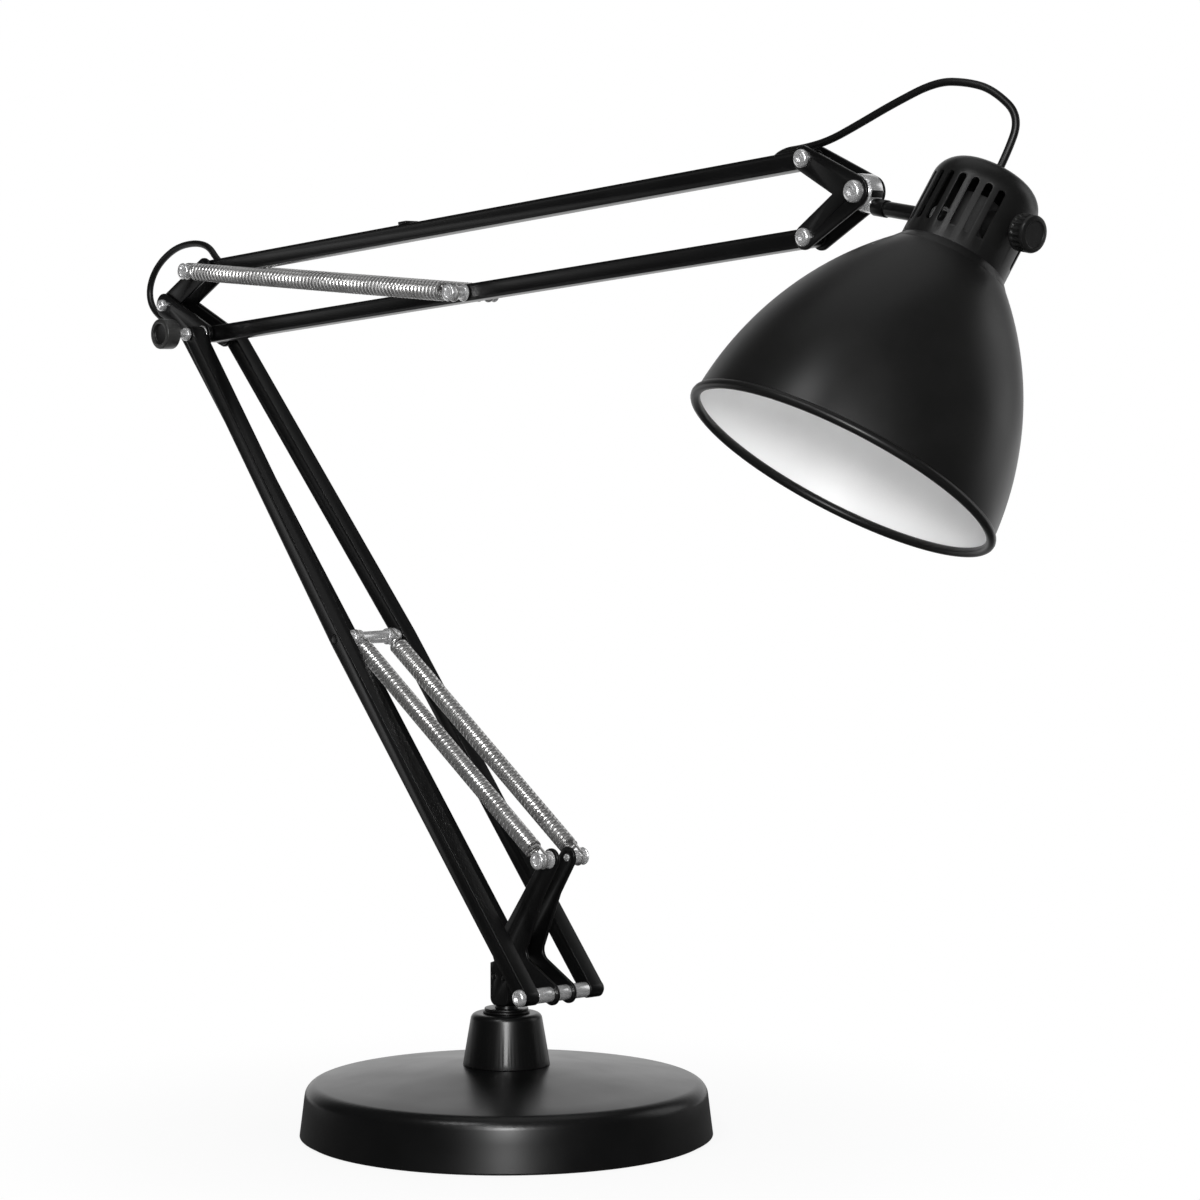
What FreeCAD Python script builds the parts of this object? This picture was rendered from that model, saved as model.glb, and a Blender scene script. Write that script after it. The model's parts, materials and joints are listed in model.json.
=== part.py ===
import FreeCAD, Part
import Sketcher
import math
import os
import re

# Architect lamp: weighted base, two sprung arms with parallel links, tilting and rolling head.
# Millimetres and degrees. X points forward in the arm plane, Y across it, Z up.
# The origin is the middle of the underside of the base.

SIZES = {
    # base
    "base_radius": 115,
    "base_lean": 3.6,
    "base_edge_height": 30,
    "base_edge_round": 8,
    "base_top": 40,
    "base_wall": 2,
    "base_hole": 7.5,
    "pad_height": 1.5,
    "pad_inset": 2.5,
    "weight_top": 25,
    "weight_gap": 1.5,
    "neck_foot": 24.3,
    "neck_head": 19.4,
    "neck_top": 69,
    "neck_round": 3.5,
    "neck_bore": 9,
    "washer_radius": 13,
    "washer_height": 1.4,
    "spindle_radius": 6.3,
    "spindle_stud": 4,
    "clip_radius": 9.5,
    "clip_height": 1.4,
    # fits
    "fit": 0.06,
    "side_gap": 0.3,
    "splay_gap": 0.26,
    # post
    "foot_bottom": 73.5,
    "foot_half": 9,
    "foot_back": 5.8,
    "block_top": 94,
    "rivet_height": 89.5,
    "rivet_offset": 5.6,
    "rivet_back": 2.6,
    "rivet_radius": 1.6,
    "rivet_head": 3,
    "rivet_head_height": 1.2,
    "plate_thickness": 2,
    "post_vertex_half": 9,
    "post_lever_half": 8,
    "post_axle_half": 6.2,
    "lever_tip_half": 6,
    "lever_height": 74,
    "post_inner_round": 6,
    "post_web": 16.5,
    "post_web_tip": 8,
    "foot_round": 4,
    # lower arm
    "axle_x": 45,
    "axle_z": 85,
    "axle_radius": 2.6,
    "axle_spacer": 4.2,
    "axle_nut": 4.7,
    "axle_nut_height": 3,
    "axle_far_nut": 4,
    "axle_far_height": 0.8,
    "arm_lean": 130.9,
    "lower_length": 480,
    "lower_spread": 23.5,
    "elbow_spread": 14.5,
    "bend_distance": 248,
    "sleeve_radius": 3.65,
    "collar_radius": 4.7,
    "collar_width": 1.6,
    # bars
    "bar_width": 9.5,
    "bar_half": 4.75,
    "bar_wall": 1.2,
    "link_width": 8.4,
    "link_half": 4.2,
    "link_back": 40,
    "link_lift": 18,
    "pin_radius": 2.1,
    # elbow
    "elbow_leg_half": 6.4,
    "strip_half": 7.2,
    "strip_thickness": 1.8,
    "elbow_nut": 3.9,
    "elbow_nut_height": 2.6,
    "rear_head": 3.6,
    "rear_head_height": 3.2,
    "knob_radius": 9,
    "knob_near": 31,
    "knob_height": 9.5,
    "knob_recess": 5.8,
    "knob_recess_depth": 1.6,
    "spool_back": 8.8,
    "spool_rise": 37.9,
    # upper arm
    "side_back": 1.5,
    "side_rise": 39.5,
    "upper_rise": 4.89,
    "upper_length": 510,
    "anchor_distance": 240.7,
    "clip_distance": 184,
    "lead_clip_length": 7,
    "lead_clip_height": 1.7,
    # springs
    "spring_offset": 12.7,
    "spring_radius": 4.3,
    "wire_radius": 1,
    "lower_turns": 12,
    "upper_turns": 14,
    "spring_lead_in": 6.5,
    "spool_radius": 4.9,
    "spool_groove": 3.6,
    "spool_flange": 1.6,
    "spool_end": 17.6,
    # head
    "apex_forward": 35.5,
    "apex_rise": 21.6,
    "head_leg_half": 6.5,
    "apex_half": 8.2,
    "head_nut": 4.7,
    "head_nut_height": 2.6,
    "apex_nut_radius": 5.75,
    "apex_nut_height": 3.6,
    "knuckle_radius": 9,
    "knuckle_half": 4,
    "knuckle_socket": 4.4,
    "knuckle_reach": 17,
    "stem_radius": 3.9,
    "stem_drop": 6.5,
    "stem_reach": 73.8,
    "socket_length": 8,
    "stem_inside": 16,
    "stem_nut_radius": 6,
    "stem_nut_height": 4,
    "head_tilt": 9,
    "head_roll": 30,
    # shade and cap, heights from the stem axis
    "rim_radius": 79.5,
    "rim_drop": 138.4,
    "rim_bead": 2.4,
    "shade_wall": 1.1,
    "shade_curve_radius": 172,
    "shade_top_radius": 31.8,
    "shade_top_drop": 26,
    "shade_hole": 19.2,
    "cap_radius": 27.8,
    "cap_flare_drop": 21,
    "cap_wall": 1.2,
    "cap_top": 27,
    "cap_round": 13,
    "boss_radius": 6.6,
    "boss_length": 5,
    "vent_count": 9,
    "vent_step": 14.7,
    "vent_half": 1.95,
    "vent_low": 14.1,
    "vent_high": 13.2,
    "holder_radius": 19,
    "holder_bore": 13.6,
    "holder_top": 10,
    "holder_drop": 55,
    "holder_neck": 10.5,
    "holder_rise": 12,
    "ring_radius": 24,
    "ring_height": 4,
    "grommet_radius": 4,
    "grommet_hole": 3,
    "grommet_height": 3,
    "switch_radius": 8,
    "switch_length": 12,
    "switch_shaft": 3,
    "switch_knob_radius": 9.25,
    "switch_knob_length": 14,
    "switch_gap": 4.6,
    # leads
    "cord_radius": 2,
    "lead_dip": 26,
    "head_dip": 37,
    "lead_gap": 0.7,
    "lead_step": 10,
}

# Points of the linkage and lengths that follow from the sizes.
LAYOUT = {
    "elbow_x": "axle_x + lower_length * cos(arm_lean)",
    "elbow_z": "axle_z + lower_length * sin(arm_lean)",
    "bend_x": "axle_x + bend_distance * cos(arm_lean)",
    "bend_z": "axle_z + bend_distance * sin(arm_lean)",
    "tip_z": "axle_z + lever_height",
    "link_x": "axle_x - link_back",
    "link_z": "axle_z + link_lift",
    "rear_x": "elbow_x - link_back",
    "rear_z": "elbow_z + link_lift",
    "crest_x": "elbow_x - side_back",
    "crest_z": "elbow_z + side_rise",
    "hook_x": "elbow_x - spool_back",
    "hook_z": "elbow_z + spool_rise",
    "fore_x": "elbow_x + upper_length * cos(upper_rise)",
    "fore_z": "elbow_z + upper_length * sin(upper_rise)",
    "brow_x": "fore_x - side_back",
    "brow_z": "fore_z + side_rise",
    "anchor_x": "elbow_x + anchor_distance * cos(upper_rise)",
    "anchor_z": "elbow_z + anchor_distance * sin(upper_rise)",
    "apex_x": "fore_x + apex_forward",
    "apex_z": "fore_z + apex_rise",
    "head_x": "apex_x + stem_reach * cos(head_tilt) - stem_drop * sin(head_tilt)",
    "head_z": "apex_z - stem_reach * sin(head_tilt) - stem_drop * cos(head_tilt)",
    "low_leg": "sqrt(link_back * link_back + link_lift * link_lift)",
    "low_angle": "atan2(0 - link_lift; link_back) / 1deg",
    "lever_leg": "sqrt(link_back * link_back + (lever_height - link_lift) * (lever_height - link_lift))",
    "lever_angle": "atan2(lever_height - link_lift; link_back) / 1deg",
    "crest_dx": "link_back - side_back",
    "crest_dz": "side_rise - link_lift",
    "high_leg": "sqrt(crest_dx * crest_dx + crest_dz * crest_dz)",
    "high_angle": "atan2(crest_dz; crest_dx) / 1deg",
    "brow_dx": "apex_forward + side_back",
    "brow_dz": "side_rise - apex_rise",
    "fore_leg": "sqrt(apex_forward * apex_forward + apex_rise * apex_rise)",
    "fore_angle": "180 + atan2(apex_rise; apex_forward) / 1deg",
    "brow_leg": "sqrt(brow_dx * brow_dx + brow_dz * brow_dz)",
    "brow_angle": "180 - atan2(brow_dz; brow_dx) / 1deg",
    "plate_in": "bar_width / 2 + side_gap",
    "plate_out": "plate_in + plate_thickness",
    "plate_mid": "plate_in + plate_thickness / 2",
    "strip_out": "plate_out + strip_thickness",
    "strip_mid": "plate_out + strip_thickness / 2",
    "axle_in": "lower_spread - bar_width / 2",
    "axle_out": "lower_spread + bar_width / 2",
    "elbow_in": "elbow_spread - bar_width / 2",
    "elbow_out": "elbow_spread + bar_width / 2",
    "bend_inset": "lower_spread - elbow_spread",
    "base_edge_radius": "base_radius - base_lean",
    "washers_top": "neck_top + 2 * washer_height",
    "channel_half": "bar_width / 2 - bar_wall",
    "cap_inner": "cap_radius - cap_wall",
}

doc = FreeCAD.newDocument("ArchitectLamp")
sheet = doc.addObject("Spreadsheet::Sheet", "Sizes")
NAMES = {}
for row, (word, amount) in enumerate(SIZES.items(), start=1):
    sheet.set(f"A{row}", word)
    sheet.set(f"B{row}", str(amount))
    sheet.setAlias(f"B{row}", word)
    NAMES[word] = "Sizes." + word
doc.recompute()


def full(text):
    """Write each size or layout word as a reference to its owner."""
    return re.sub(r"[A-Za-z_][A-Za-z_0-9]*", lambda m: NAMES.get(m.group(0), m.group(0)), text)


def bind(item, path, text):
    item.setExpression(path, full(text))


def number(text):
    found = sheet.evalExpression(full(text))
    return float(getattr(found, "Value", found))


layout = doc.addObject("App::VarSet", "Layout")
for word, text in LAYOUT.items():
    layout.addProperty("App::PropertyFloat", word)
    bind(layout, word, text)
    NAMES[word] = "Layout." + word
    doc.recompute()

NODES = []


def place(item, x, y, z, turns=()):
    """Bind a placement: a point and turns about named axes, outermost first."""
    axes = {"x": "vector(1; 0; 0)", "y": "vector(0; 1; 0)", "z": "vector(0; 0; 1)"}
    spin = " * ".join(f"rotation({axes[axis]}; {angle})" for axis, angle in turns)
    if not spin:
        spin = "rotation(vector(0; 0; 1); 0)"
    bind(item, "Placement", f"placement(vector({x}; {y}; {z}); {spin})")


def node(item, label):
    item.Label = label
    NODES.append(item)
    return item


def new_body(label):
    return doc.addObject("PartDesign::Body", "Body_" + label)


def new_sketch(body, role="XZ_Plane", turn=None, axis=(0, 0, 1), shift=None):
    plane = [o for o in body.Origin.OriginFeatures if o.Role == role][0]
    sketch = body.newObject("Sketcher::SketchObject", body.Name + "_sketch")
    sketch.AttachmentSupport = [(plane, "")]
    sketch.MapMode = "FlatFace"
    if turn is not None:
        start = FreeCAD.Rotation(FreeCAD.Vector(*axis), 1)
        sketch.AttachmentOffset = FreeCAD.Placement(FreeCAD.Vector(), start)
        bind(sketch, "AttachmentOffset.Rotation.Angle", turn)
    if shift is not None:
        bind(sketch, "AttachmentOffset.Base.z", shift)
    return sketch


def fix_point(sketch, geo, pos, x, y):
    """Hold a sketch point at bound distances from the sketch origin."""
    if x == "0" and y == "0":
        sketch.addConstraint(Sketcher.Constraint("Coincident", geo, pos, -1, 1))
        return
    for kind, axis, text in (("DistanceX", -2, x), ("DistanceY", -1, y)):
        if text == "0":
            sketch.addConstraint(Sketcher.Constraint("PointOnObject", geo, pos, axis))
        else:
            index = sketch.addConstraint(Sketcher.Constraint(kind, -1, 1, geo, pos, number(text)))
            bind(sketch, f"Constraints[{index}]", text)


def outline(sketch, points, arcs=None):
    """Closed outline of bound points; arcs maps an edge number to (radius, bulge side)."""
    arcs = arcs or {}
    spots = [FreeCAD.Vector(number(x), number(y), 0) for x, y in points]
    ends = []
    for i, (x, y) in enumerate(points):
        p = spots[i]
        q = spots[(i + 1) % len(spots)]
        if i in arcs:
            radius, side = arcs[i]
            chord = q - p
            left = FreeCAD.Vector(-chord.y, chord.x, 0) / chord.Length
            size = number(radius)
            depth = math.sqrt(size * size - chord.Length * chord.Length / 4)
            centre = (p + q) / 2 - left * (side * depth)
            first, last = (q, p) if side > 0 else (p, q)
            a0 = math.atan2(first.y - centre.y, first.x - centre.x)
            a1 = math.atan2(last.y - centre.y, last.x - centre.x)
            if a1 < a0:
                a1 += 2 * math.pi
            ring = Part.Circle(centre, FreeCAD.Vector(0, 0, 1), size)
            geo = sketch.addGeometry(Part.ArcOfCircle(ring, a0, a1), False)
            ends.append((geo, 2, 1) if side > 0 else (geo, 1, 2))
        else:
            geo = sketch.addGeometry(Part.LineSegment(p, q), False)
            ends.append((geo, 1, 2))
    for i, (geo, start, end) in enumerate(ends):
        after, after_start, after_end = ends[(i + 1) % len(ends)]
        sketch.addConstraint(Sketcher.Constraint("Coincident", geo, end, after, after_start))
    for i, (x, y) in enumerate(points):
        fix_point(sketch, ends[i][0], ends[i][1], x, y)
        if i in arcs:
            index = sketch.addConstraint(Sketcher.Constraint("Radius", ends[i][0], number(arcs[i][0])))
            bind(sketch, f"Constraints[{index}]", arcs[i][0])


def circle(sketch, x, y, radius):
    spot = FreeCAD.Vector(number(x), number(y), 0)
    geo = sketch.addGeometry(Part.Circle(spot, FreeCAD.Vector(0, 0, 1), number(radius)), False)
    fix_point(sketch, geo, 3, x, y)
    index = sketch.addConstraint(Sketcher.Constraint("Radius", geo, number(radius)))
    bind(sketch, f"Constraints[{index}]", radius)


def slot(sketch, start, end, start_half, end_half, upright=False):
    """Two round ends joined by tangent lines, along the sketch x or y axis."""
    a = number(start)
    b = number(end)
    ra = number(start_half)
    rb = number(end_half)
    lean = math.asin((ra - rb) / (b - a))
    base = math.pi / 2 if upright else 0

    def spot(along, across):
        if upright:
            return FreeCAD.Vector(-across, along, 0)
        return FreeCAD.Vector(along, across, 0)

    up = math.pi / 2 - lean
    normal = FreeCAD.Vector(0, 0, 1)
    ring_a = Part.Circle(spot(a, 0), normal, ra)
    ring_b = Part.Circle(spot(b, 0), normal, rb)
    low_a = spot(a + ra * math.sin(lean), -ra * math.cos(lean))
    low_b = spot(b + rb * math.sin(lean), -rb * math.cos(lean))
    high_a = spot(a + ra * math.sin(lean), ra * math.cos(lean))
    high_b = spot(b + rb * math.sin(lean), rb * math.cos(lean))
    g0 = sketch.addGeometry(Part.ArcOfCircle(ring_a, base + up, base + 2 * math.pi - up), False)
    g1 = sketch.addGeometry(Part.LineSegment(low_a, low_b), False)
    g2 = sketch.addGeometry(Part.ArcOfCircle(ring_b, base - up, base + up), False)
    g3 = sketch.addGeometry(Part.LineSegment(high_b, high_a), False)
    for first, after in ((g0, g1), (g1, g2), (g2, g3), (g3, g0)):
        sketch.addConstraint(Sketcher.Constraint("Tangent", first, 2, after, 1))
    if upright:
        fix_point(sketch, g0, 3, "0", start)
        fix_point(sketch, g2, 3, "0", end)
    else:
        fix_point(sketch, g0, 3, start, "0")
        fix_point(sketch, g2, 3, end, "0")
    for geo, text in ((g0, start_half), (g2, end_half)):
        index = sketch.addConstraint(Sketcher.Constraint("Radius", geo, number(text)))
        bind(sketch, f"Constraints[{index}]", text)


def pad(body, sketch, length):
    """Raise a sketch evenly to both sides of its plane."""
    made = body.newObject("PartDesign::Pad", body.Name + "_pad")
    made.Profile = sketch
    made.Midplane = True
    bind(made, "Length", length)
    return made


def pad_on(body, sketch, length, flip=False):
    """Raise a sketch to one side of its plane."""
    made = body.newObject("PartDesign::Pad", body.Name + "_pad")
    made.Profile = sketch
    made.Reversed = flip
    bind(made, "Length", length)
    return made


def pocket(body, sketch):
    """Cut a sketch right through, both ways."""
    made = body.newObject("PartDesign::Pocket", body.Name + "_pocket")
    made.Profile = sketch
    made.Midplane = True
    made.Type = 1
    return made


def pocket_to(body, sketch, depth, flip=False):
    """Cut a sketch to a depth on one side of its plane."""
    made = body.newObject("PartDesign::Pocket", body.Name + "_pocket")
    made.Profile = sketch
    made.Reversed = flip
    bind(made, "Length", depth)
    return made


def revolve(body, sketch):
    made = body.newObject("PartDesign::Revolution", body.Name + "_turned")
    made.Profile = sketch
    made.ReferenceAxis = (sketch, ["V_Axis"])
    made.Angle = 360
    return made


def turned_body(label, points, arcs=None):
    """Body turned about its own Z axis from (radius, height) points."""
    body = new_body(label)
    sketch = new_sketch(body)
    outline(sketch, points, arcs)
    revolve(body, sketch)
    return body


def across(label, x, z, points):
    """Turned body whose axis lies along Y; heights are Y positions."""
    body = turned_body(label, points)
    place(body, x, "0", z, [("x", "-90")])
    return body


def stepped(start, steps):
    """Points of a stepped pin: each step is a radius and the height where it ends."""
    points = [("0", start)]
    level = start
    for radius, end in steps:
        points.append((radius, level))
        points.append((radius, end))
        level = end
    points.append(("0", level))
    return points


def ring_points(inner, outer, low, high):
    return [(inner, low), (outer, low), (outer, high), (inner, high)]


def group(label, items):
    """Separate solids that share one node."""
    made = doc.addObject("Part::Compound", "Group_" + label)
    made.Links = items
    return node(made, label)


def circle_edges(body, radius, height):
    """Names of the round edges of a turned body at a radius and a height."""
    doc.recompute()
    names = []
    for i, edge in enumerate(body.Tip.Shape.Edges, start=1):
        ring = edge.Curve
        if isinstance(ring, Part.Circle):
            if abs(ring.Radius - radius) < 0.01 and abs(ring.Center.z - height) < 0.01:
                names.append(f"Edge{i}")
    return names


def side_edge(body, x, z):
    """Name of the straight edge across a plate that is nearest to a point of its outline."""
    doc.recompute()
    best = []
    for i, edge in enumerate(body.Tip.Shape.Edges, start=1):
        ends = [vertex.Point for vertex in edge.Vertexes]
        if len(ends) == 2 and abs(ends[0].y - ends[1].y) > 0.9 * (ends[0] - ends[1]).Length:
            best.append((math.hypot(ends[0].x - x, ends[0].z - z), f"Edge{i}"))
    return min(best)[1]


def round_edges(body, names, radius):
    base = body.Tip
    made = body.newObject("PartDesign::Fillet", body.Name + "_round")
    made.Base = (base, names)
    bind(made, "Radius", radius)
    return made


# Base: cover, weight, pad, neck, bush and washers.
cover = turned_body("base_cover", [
    ("base_radius", "pad_height"),
    ("base_edge_radius", "base_edge_height"),
    ("neck_foot + 0.7", "base_top"),
    ("base_hole", "base_top"),
    ("base_hole", "base_top - base_wall"),
    ("neck_foot + 0.7", "base_top - base_wall"),
    ("base_edge_radius - base_wall", "base_edge_height - base_wall"),
    ("base_radius - base_wall", "pad_height"),
])
edges = circle_edges(cover, number("base_edge_radius"), number("base_edge_height"))
round_edges(cover, edges, "base_edge_round")
edges = circle_edges(cover, number("base_edge_radius - base_wall"), number("base_edge_height - base_wall"))
round_edges(cover, edges, "base_edge_round - base_wall")
place(cover, "0", "0", "0")
node(cover, "base_cover")

weight = turned_body("base_weight", ring_points(
    "clip_radius + 6", "base_edge_radius - base_wall - weight_gap", "pad_height", "weight_top"))
edges = circle_edges(weight, number("base_edge_radius - base_wall - weight_gap"), number("weight_top"))
round_edges(weight, edges, "base_edge_round - base_wall")
place(weight, "0", "0", "0")
node(weight, "base_weight")

foot_pad = doc.addObject("Part::Cylinder", "BasePad")
bind(foot_pad, "Radius", "base_radius - pad_inset")
bind(foot_pad, "Height", "pad_height")
place(foot_pad, "0", "0", "0")
node(foot_pad, "base_pad")

neck = turned_body("base_neck", [
    ("neck_bore", "base_top"),
    ("neck_foot", "base_top"),
    ("neck_head", "neck_top"),
    ("neck_bore", "neck_top"),
])
round_edges(neck, circle_edges(neck, number("neck_head"), number("neck_top")), "neck_round")
place(neck, "0", "0", "0")
node(neck, "base_neck")

bush = turned_body("swivel_bush", ring_points("spindle_radius + fit", "neck_bore", "base_top", "neck_top"))
place(bush, "0", "0", "0")
node(bush, "swivel_bush")

washer_low = turned_body("washer_low", ring_points(
    "spindle_radius + fit", "washer_radius", "neck_top", "neck_top + washer_height"))
washer_high = turned_body("washer_high", ring_points(
    "spindle_radius + fit", "washer_radius - 0.8", "neck_top + washer_height", "washers_top"))
place(washer_low, "0", "0", "0")
place(washer_high, "0", "0", "0")
group("swivel_washers", [washer_low, washer_high])

# Post: spindle, block, side plates, axle and spools.
spindle = turned_body("spindle", stepped("base_top - base_wall - 4", [
    ("spindle_radius", "foot_bottom"),
    ("spindle_stud", "foot_bottom + 11"),
]))
place(spindle, "0", "0", "0")
node(spindle, "spindle")

clip = turned_body("spindle_clip", ring_points(
    "spindle_radius", "clip_radius", "base_top - base_wall - side_gap - clip_height",
    "base_top - base_wall - side_gap"))
place(clip, "0", "0", "0")
node(clip, "spindle_clip")

block = new_body("post_block")
sketch = new_sketch(block)
outline(sketch, [
    ("0 - foot_back", "foot_bottom"),
    ("foot_half", "foot_bottom"),
    ("foot_half", "block_top"),
    ("0 - foot_back", "block_top"),
])
pad(block, sketch, "2 * plate_in")
corners = [side_edge(block, number(word), number("foot_bottom")) for word in ("0 - foot_back", "foot_half")]
round_edges(block, corners, "foot_round")
sketch = new_sketch(block, "XY_Plane", shift="foot_bottom + 11.5")
circle(sketch, "0", "0", "spindle_stud")
pocket_to(block, sketch, "14")
sketch = new_sketch(block)
circle(sketch, "rivet_offset", "rivet_height", "rivet_radius")
circle(sketch, "0 - rivet_back", "rivet_height", "rivet_radius")
pocket(block, sketch)
place(block, "0", "0", "0")
node(block, "post_block")


def leg(body, angle, length, start_half, end_half, thickness):
    sketch = new_sketch(body, turn=angle)
    slot(sketch, "0", length, start_half, end_half)
    pad(body, sketch, thickness)


def holes(body, spots):
    sketch = new_sketch(body)
    for x, z, radius in spots:
        circle(sketch, x, z, radius)
    pocket(body, sketch)


for side, sign in (("near", "-1"), ("far", "1")):
    plate = new_body("post_plate_" + side)
    leg(plate, "low_angle", "low_leg", "post_vertex_half", "post_axle_half", "plate_thickness")
    leg(plate, "lever_angle", "lever_leg", "post_lever_half", "lever_tip_half", "plate_thickness")
    sketch = new_sketch(plate)
    outline(sketch, [
        ("0 - link_x - foot_back", "foot_bottom - link_z"),
        ("foot_half - link_x", "foot_bottom - link_z"),
        ("foot_half - link_x", "0 - 1"),
        ("0 - link_x - foot_back", "0 - 6"),
    ])
    pad(plate, sketch, "plate_thickness")
    sketch = new_sketch(plate)
    outline(sketch, [
        ("0", "0"),
        ("post_web", "0 - 2"),
        ("link_back - 1.1", "lever_height - link_lift - post_web_tip"),
    ])
    pad(plate, sketch, "plate_thickness")
    foot_low = number("foot_bottom - link_z")
    foot_ends = [number("0 - link_x - foot_back"), number("foot_half - link_x")]
    round_edges(plate, [side_edge(plate, x, foot_low) for x in foot_ends], "foot_round")
    vertex = side_edge(plate, number("post_web"), 0)
    round_edges(plate, [vertex], "post_inner_round")
    holes(plate, [
        ("0", "0", "pin_radius + fit"),
        ("link_back", "0 - link_lift", "axle_radius + fit"),
        ("link_back", "lever_height - link_lift", "pin_radius"),
        ("rivet_offset - link_x", "rivet_height - link_z", "rivet_radius"),
        ("0 - rivet_back - link_x", "rivet_height - link_z", "rivet_radius"),
    ])
    place(plate, "link_x", sign + " * plate_mid", "link_z")
    node(plate, "post_plate_" + side)

rivets = []
for place_word, spot in (("fore", "rivet_offset"), ("back", "0 - rivet_back")):
    rivet = across("post_rivet_" + place_word, spot, "rivet_height", stepped(
        "0 - plate_out", [("rivet_radius", "plate_out")]))
    rivets.append(rivet)
group("post_rivets", rivets)

link_pin = across("link_pin", "link_x", "link_z", stepped("0 - plate_out - rivet_head_height", [
    ("rivet_head + 0.8", "0 - plate_out"),
    ("pin_radius", "plate_out"),
    ("rivet_head + 0.8", "plate_out + rivet_head_height"),
]))
node(link_pin, "link_pin")

axle = across("axle", "axle_x", "axle_z", stepped("0 - axle_out - axle_nut_height - 0.2", [
    ("axle_radius", "axle_out + axle_far_height + 0.2"),
]))
node(axle, "axle")

spacers = [
    across("axle_spacer_mid", "axle_x", "axle_z", ring_points(
        "axle_radius", "axle_spacer", "0 - plate_in", "plate_in")),
    across("axle_spacer_near", "axle_x", "axle_z", ring_points(
        "axle_radius", "axle_spacer", "0 - axle_in + 0.15", "0 - plate_out")),
    across("axle_spacer_far", "axle_x", "axle_z", ring_points(
        "axle_radius", "axle_spacer", "plate_out", "axle_in - 0.15")),
]
group("axle_spacers", spacers)

nuts = [
    across("axle_nut_near", "axle_x", "axle_z", ring_points(
        "axle_radius", "axle_nut", "0 - axle_out - 0.2 - axle_nut_height", "0 - axle_out - 0.2")),
    across("axle_nut_far", "axle_x", "axle_z", ring_points(
        "axle_radius", "axle_far_nut", "axle_out + 0.2", "axle_out + 0.2 + axle_far_height")),
]
group("axle_nuts", nuts)


def spool(label, x, z, sign, root, face):
    """Grooved spool on the outside of a plate or bar, riveted through it."""
    levels = [root, face, face + " + spool_flange", "spool_end - spool_flange", "spool_end"]
    radii = ["pin_radius", "spool_radius", "spool_groove", "spool_radius"]
    if sign > 0:
        steps = [(r, end) for r, end in zip(radii, levels[1:])]
        return across(label, x, z, stepped(levels[0], steps))
    flipped = ["0 - (" + text + ")" for text in reversed(levels)]
    steps = [(r, end) for r, end in zip(reversed(radii), flipped[1:])]
    return across(label, x, z, stepped(flipped[0], steps))


def spool_pair(label, x, z, root, face):
    near = spool(label + "_near", x, z, -1, root, face)
    far = spool(label + "_far", x, z, 1, root, face)
    return group(label, [near, far])


spool_pair("lower_spring_spools", "axle_x", "tip_z", "plate_in", "plate_out")


def bar(label, length, width, half, spots, x, y, z, angle, inset=None):
    """Channel bar with round ends: web on the under side, open on the other, bored for pins."""
    body = new_body(label)
    sketch = new_sketch(body)
    slot(sketch, "0", length, half, half)
    if inset is None:
        pad(body, sketch, width)
    else:
        pad(body, sketch, width + " + 2 * bend_inset + 2")
        sketch = new_sketch(body, "XY_Plane")
        run = f"({length} - bend_distance)"
        past = f"{inset} * bend_inset * ({run} + 2 * {half}) / {run}"
        for edge in ("1", "-1"):
            outline(sketch, [
                ("0 - 2 * " + half, f"{edge} * {width} / 2"),
                ("bend_distance", f"{edge} * {width} / 2"),
                (length + " + 2 * " + half, f"{edge} * {width} / 2 + {past}"),
                (length + " + 2 * " + half, f"{edge} * ({width} + 2 * bend_inset + 4)"),
                ("0 - 2 * " + half, f"{edge} * ({width} + 2 * bend_inset + 4)"),
            ])
        pocket(body, sketch)
    floor = f"bar_wall - {half}"
    if inset is None:
        sketch = new_sketch(body, "YZ_Plane")
        outline(sketch, [
            (f"bar_wall - {width} / 2", floor),
            (f"{width} / 2 - bar_wall", floor),
            (f"{width} / 2 - bar_wall", half + " + 1"),
            (f"bar_wall - {width} / 2", half + " + 1"),
        ])
        pocket(body, sketch)
    else:
        sketch = new_sketch(body, "XY_Plane", shift=floor)
        inner = f"({width} / 2 - bar_wall)"
        final = f"{inset} * bend_inset * ({run} + {half} / 2) / {run}"
        outline(sketch, [
            ("0 - " + half + " / 2", "0 - " + inner),
            ("bend_distance", "0 - " + inner),
            (f"{length} + {half} / 2", f"{final} - {inner}"),
            (f"{length} + {half} / 2", f"{final} + {inner}"),
            ("bend_distance", inner),
            ("0 - " + half + " / 2", inner),
        ])
        pocket_to(body, sketch, "2 * " + half, True)
    sketch = new_sketch(body)
    for distance, radius in spots:
        circle(sketch, distance, "0", radius)
    pocket(body, sketch)
    place(body, x, y, z, [("y", "0 - " + angle)])
    return node(body, label)


# Lower arm: two bent bars, cross bolt with sleeve, elbow bolt and the link behind.
for side, sign in (("near", -1), ("far", 1)):
    bar("lower_bar_" + side, "lower_length", "bar_width", "bar_half", [
        ("0", "axle_radius + fit"),
        ("bend_distance", "axle_radius"),
        ("lower_length", "axle_radius"),
    ], "axle_x", f"{sign} * lower_spread", "axle_z", "arm_lean", f"{-sign}")

cross = across("cross_bolt", "bend_x", "bend_z", stepped("0 - axle_out", [("axle_radius", "axle_out")]))
node(cross, "cross_bolt")

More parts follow.
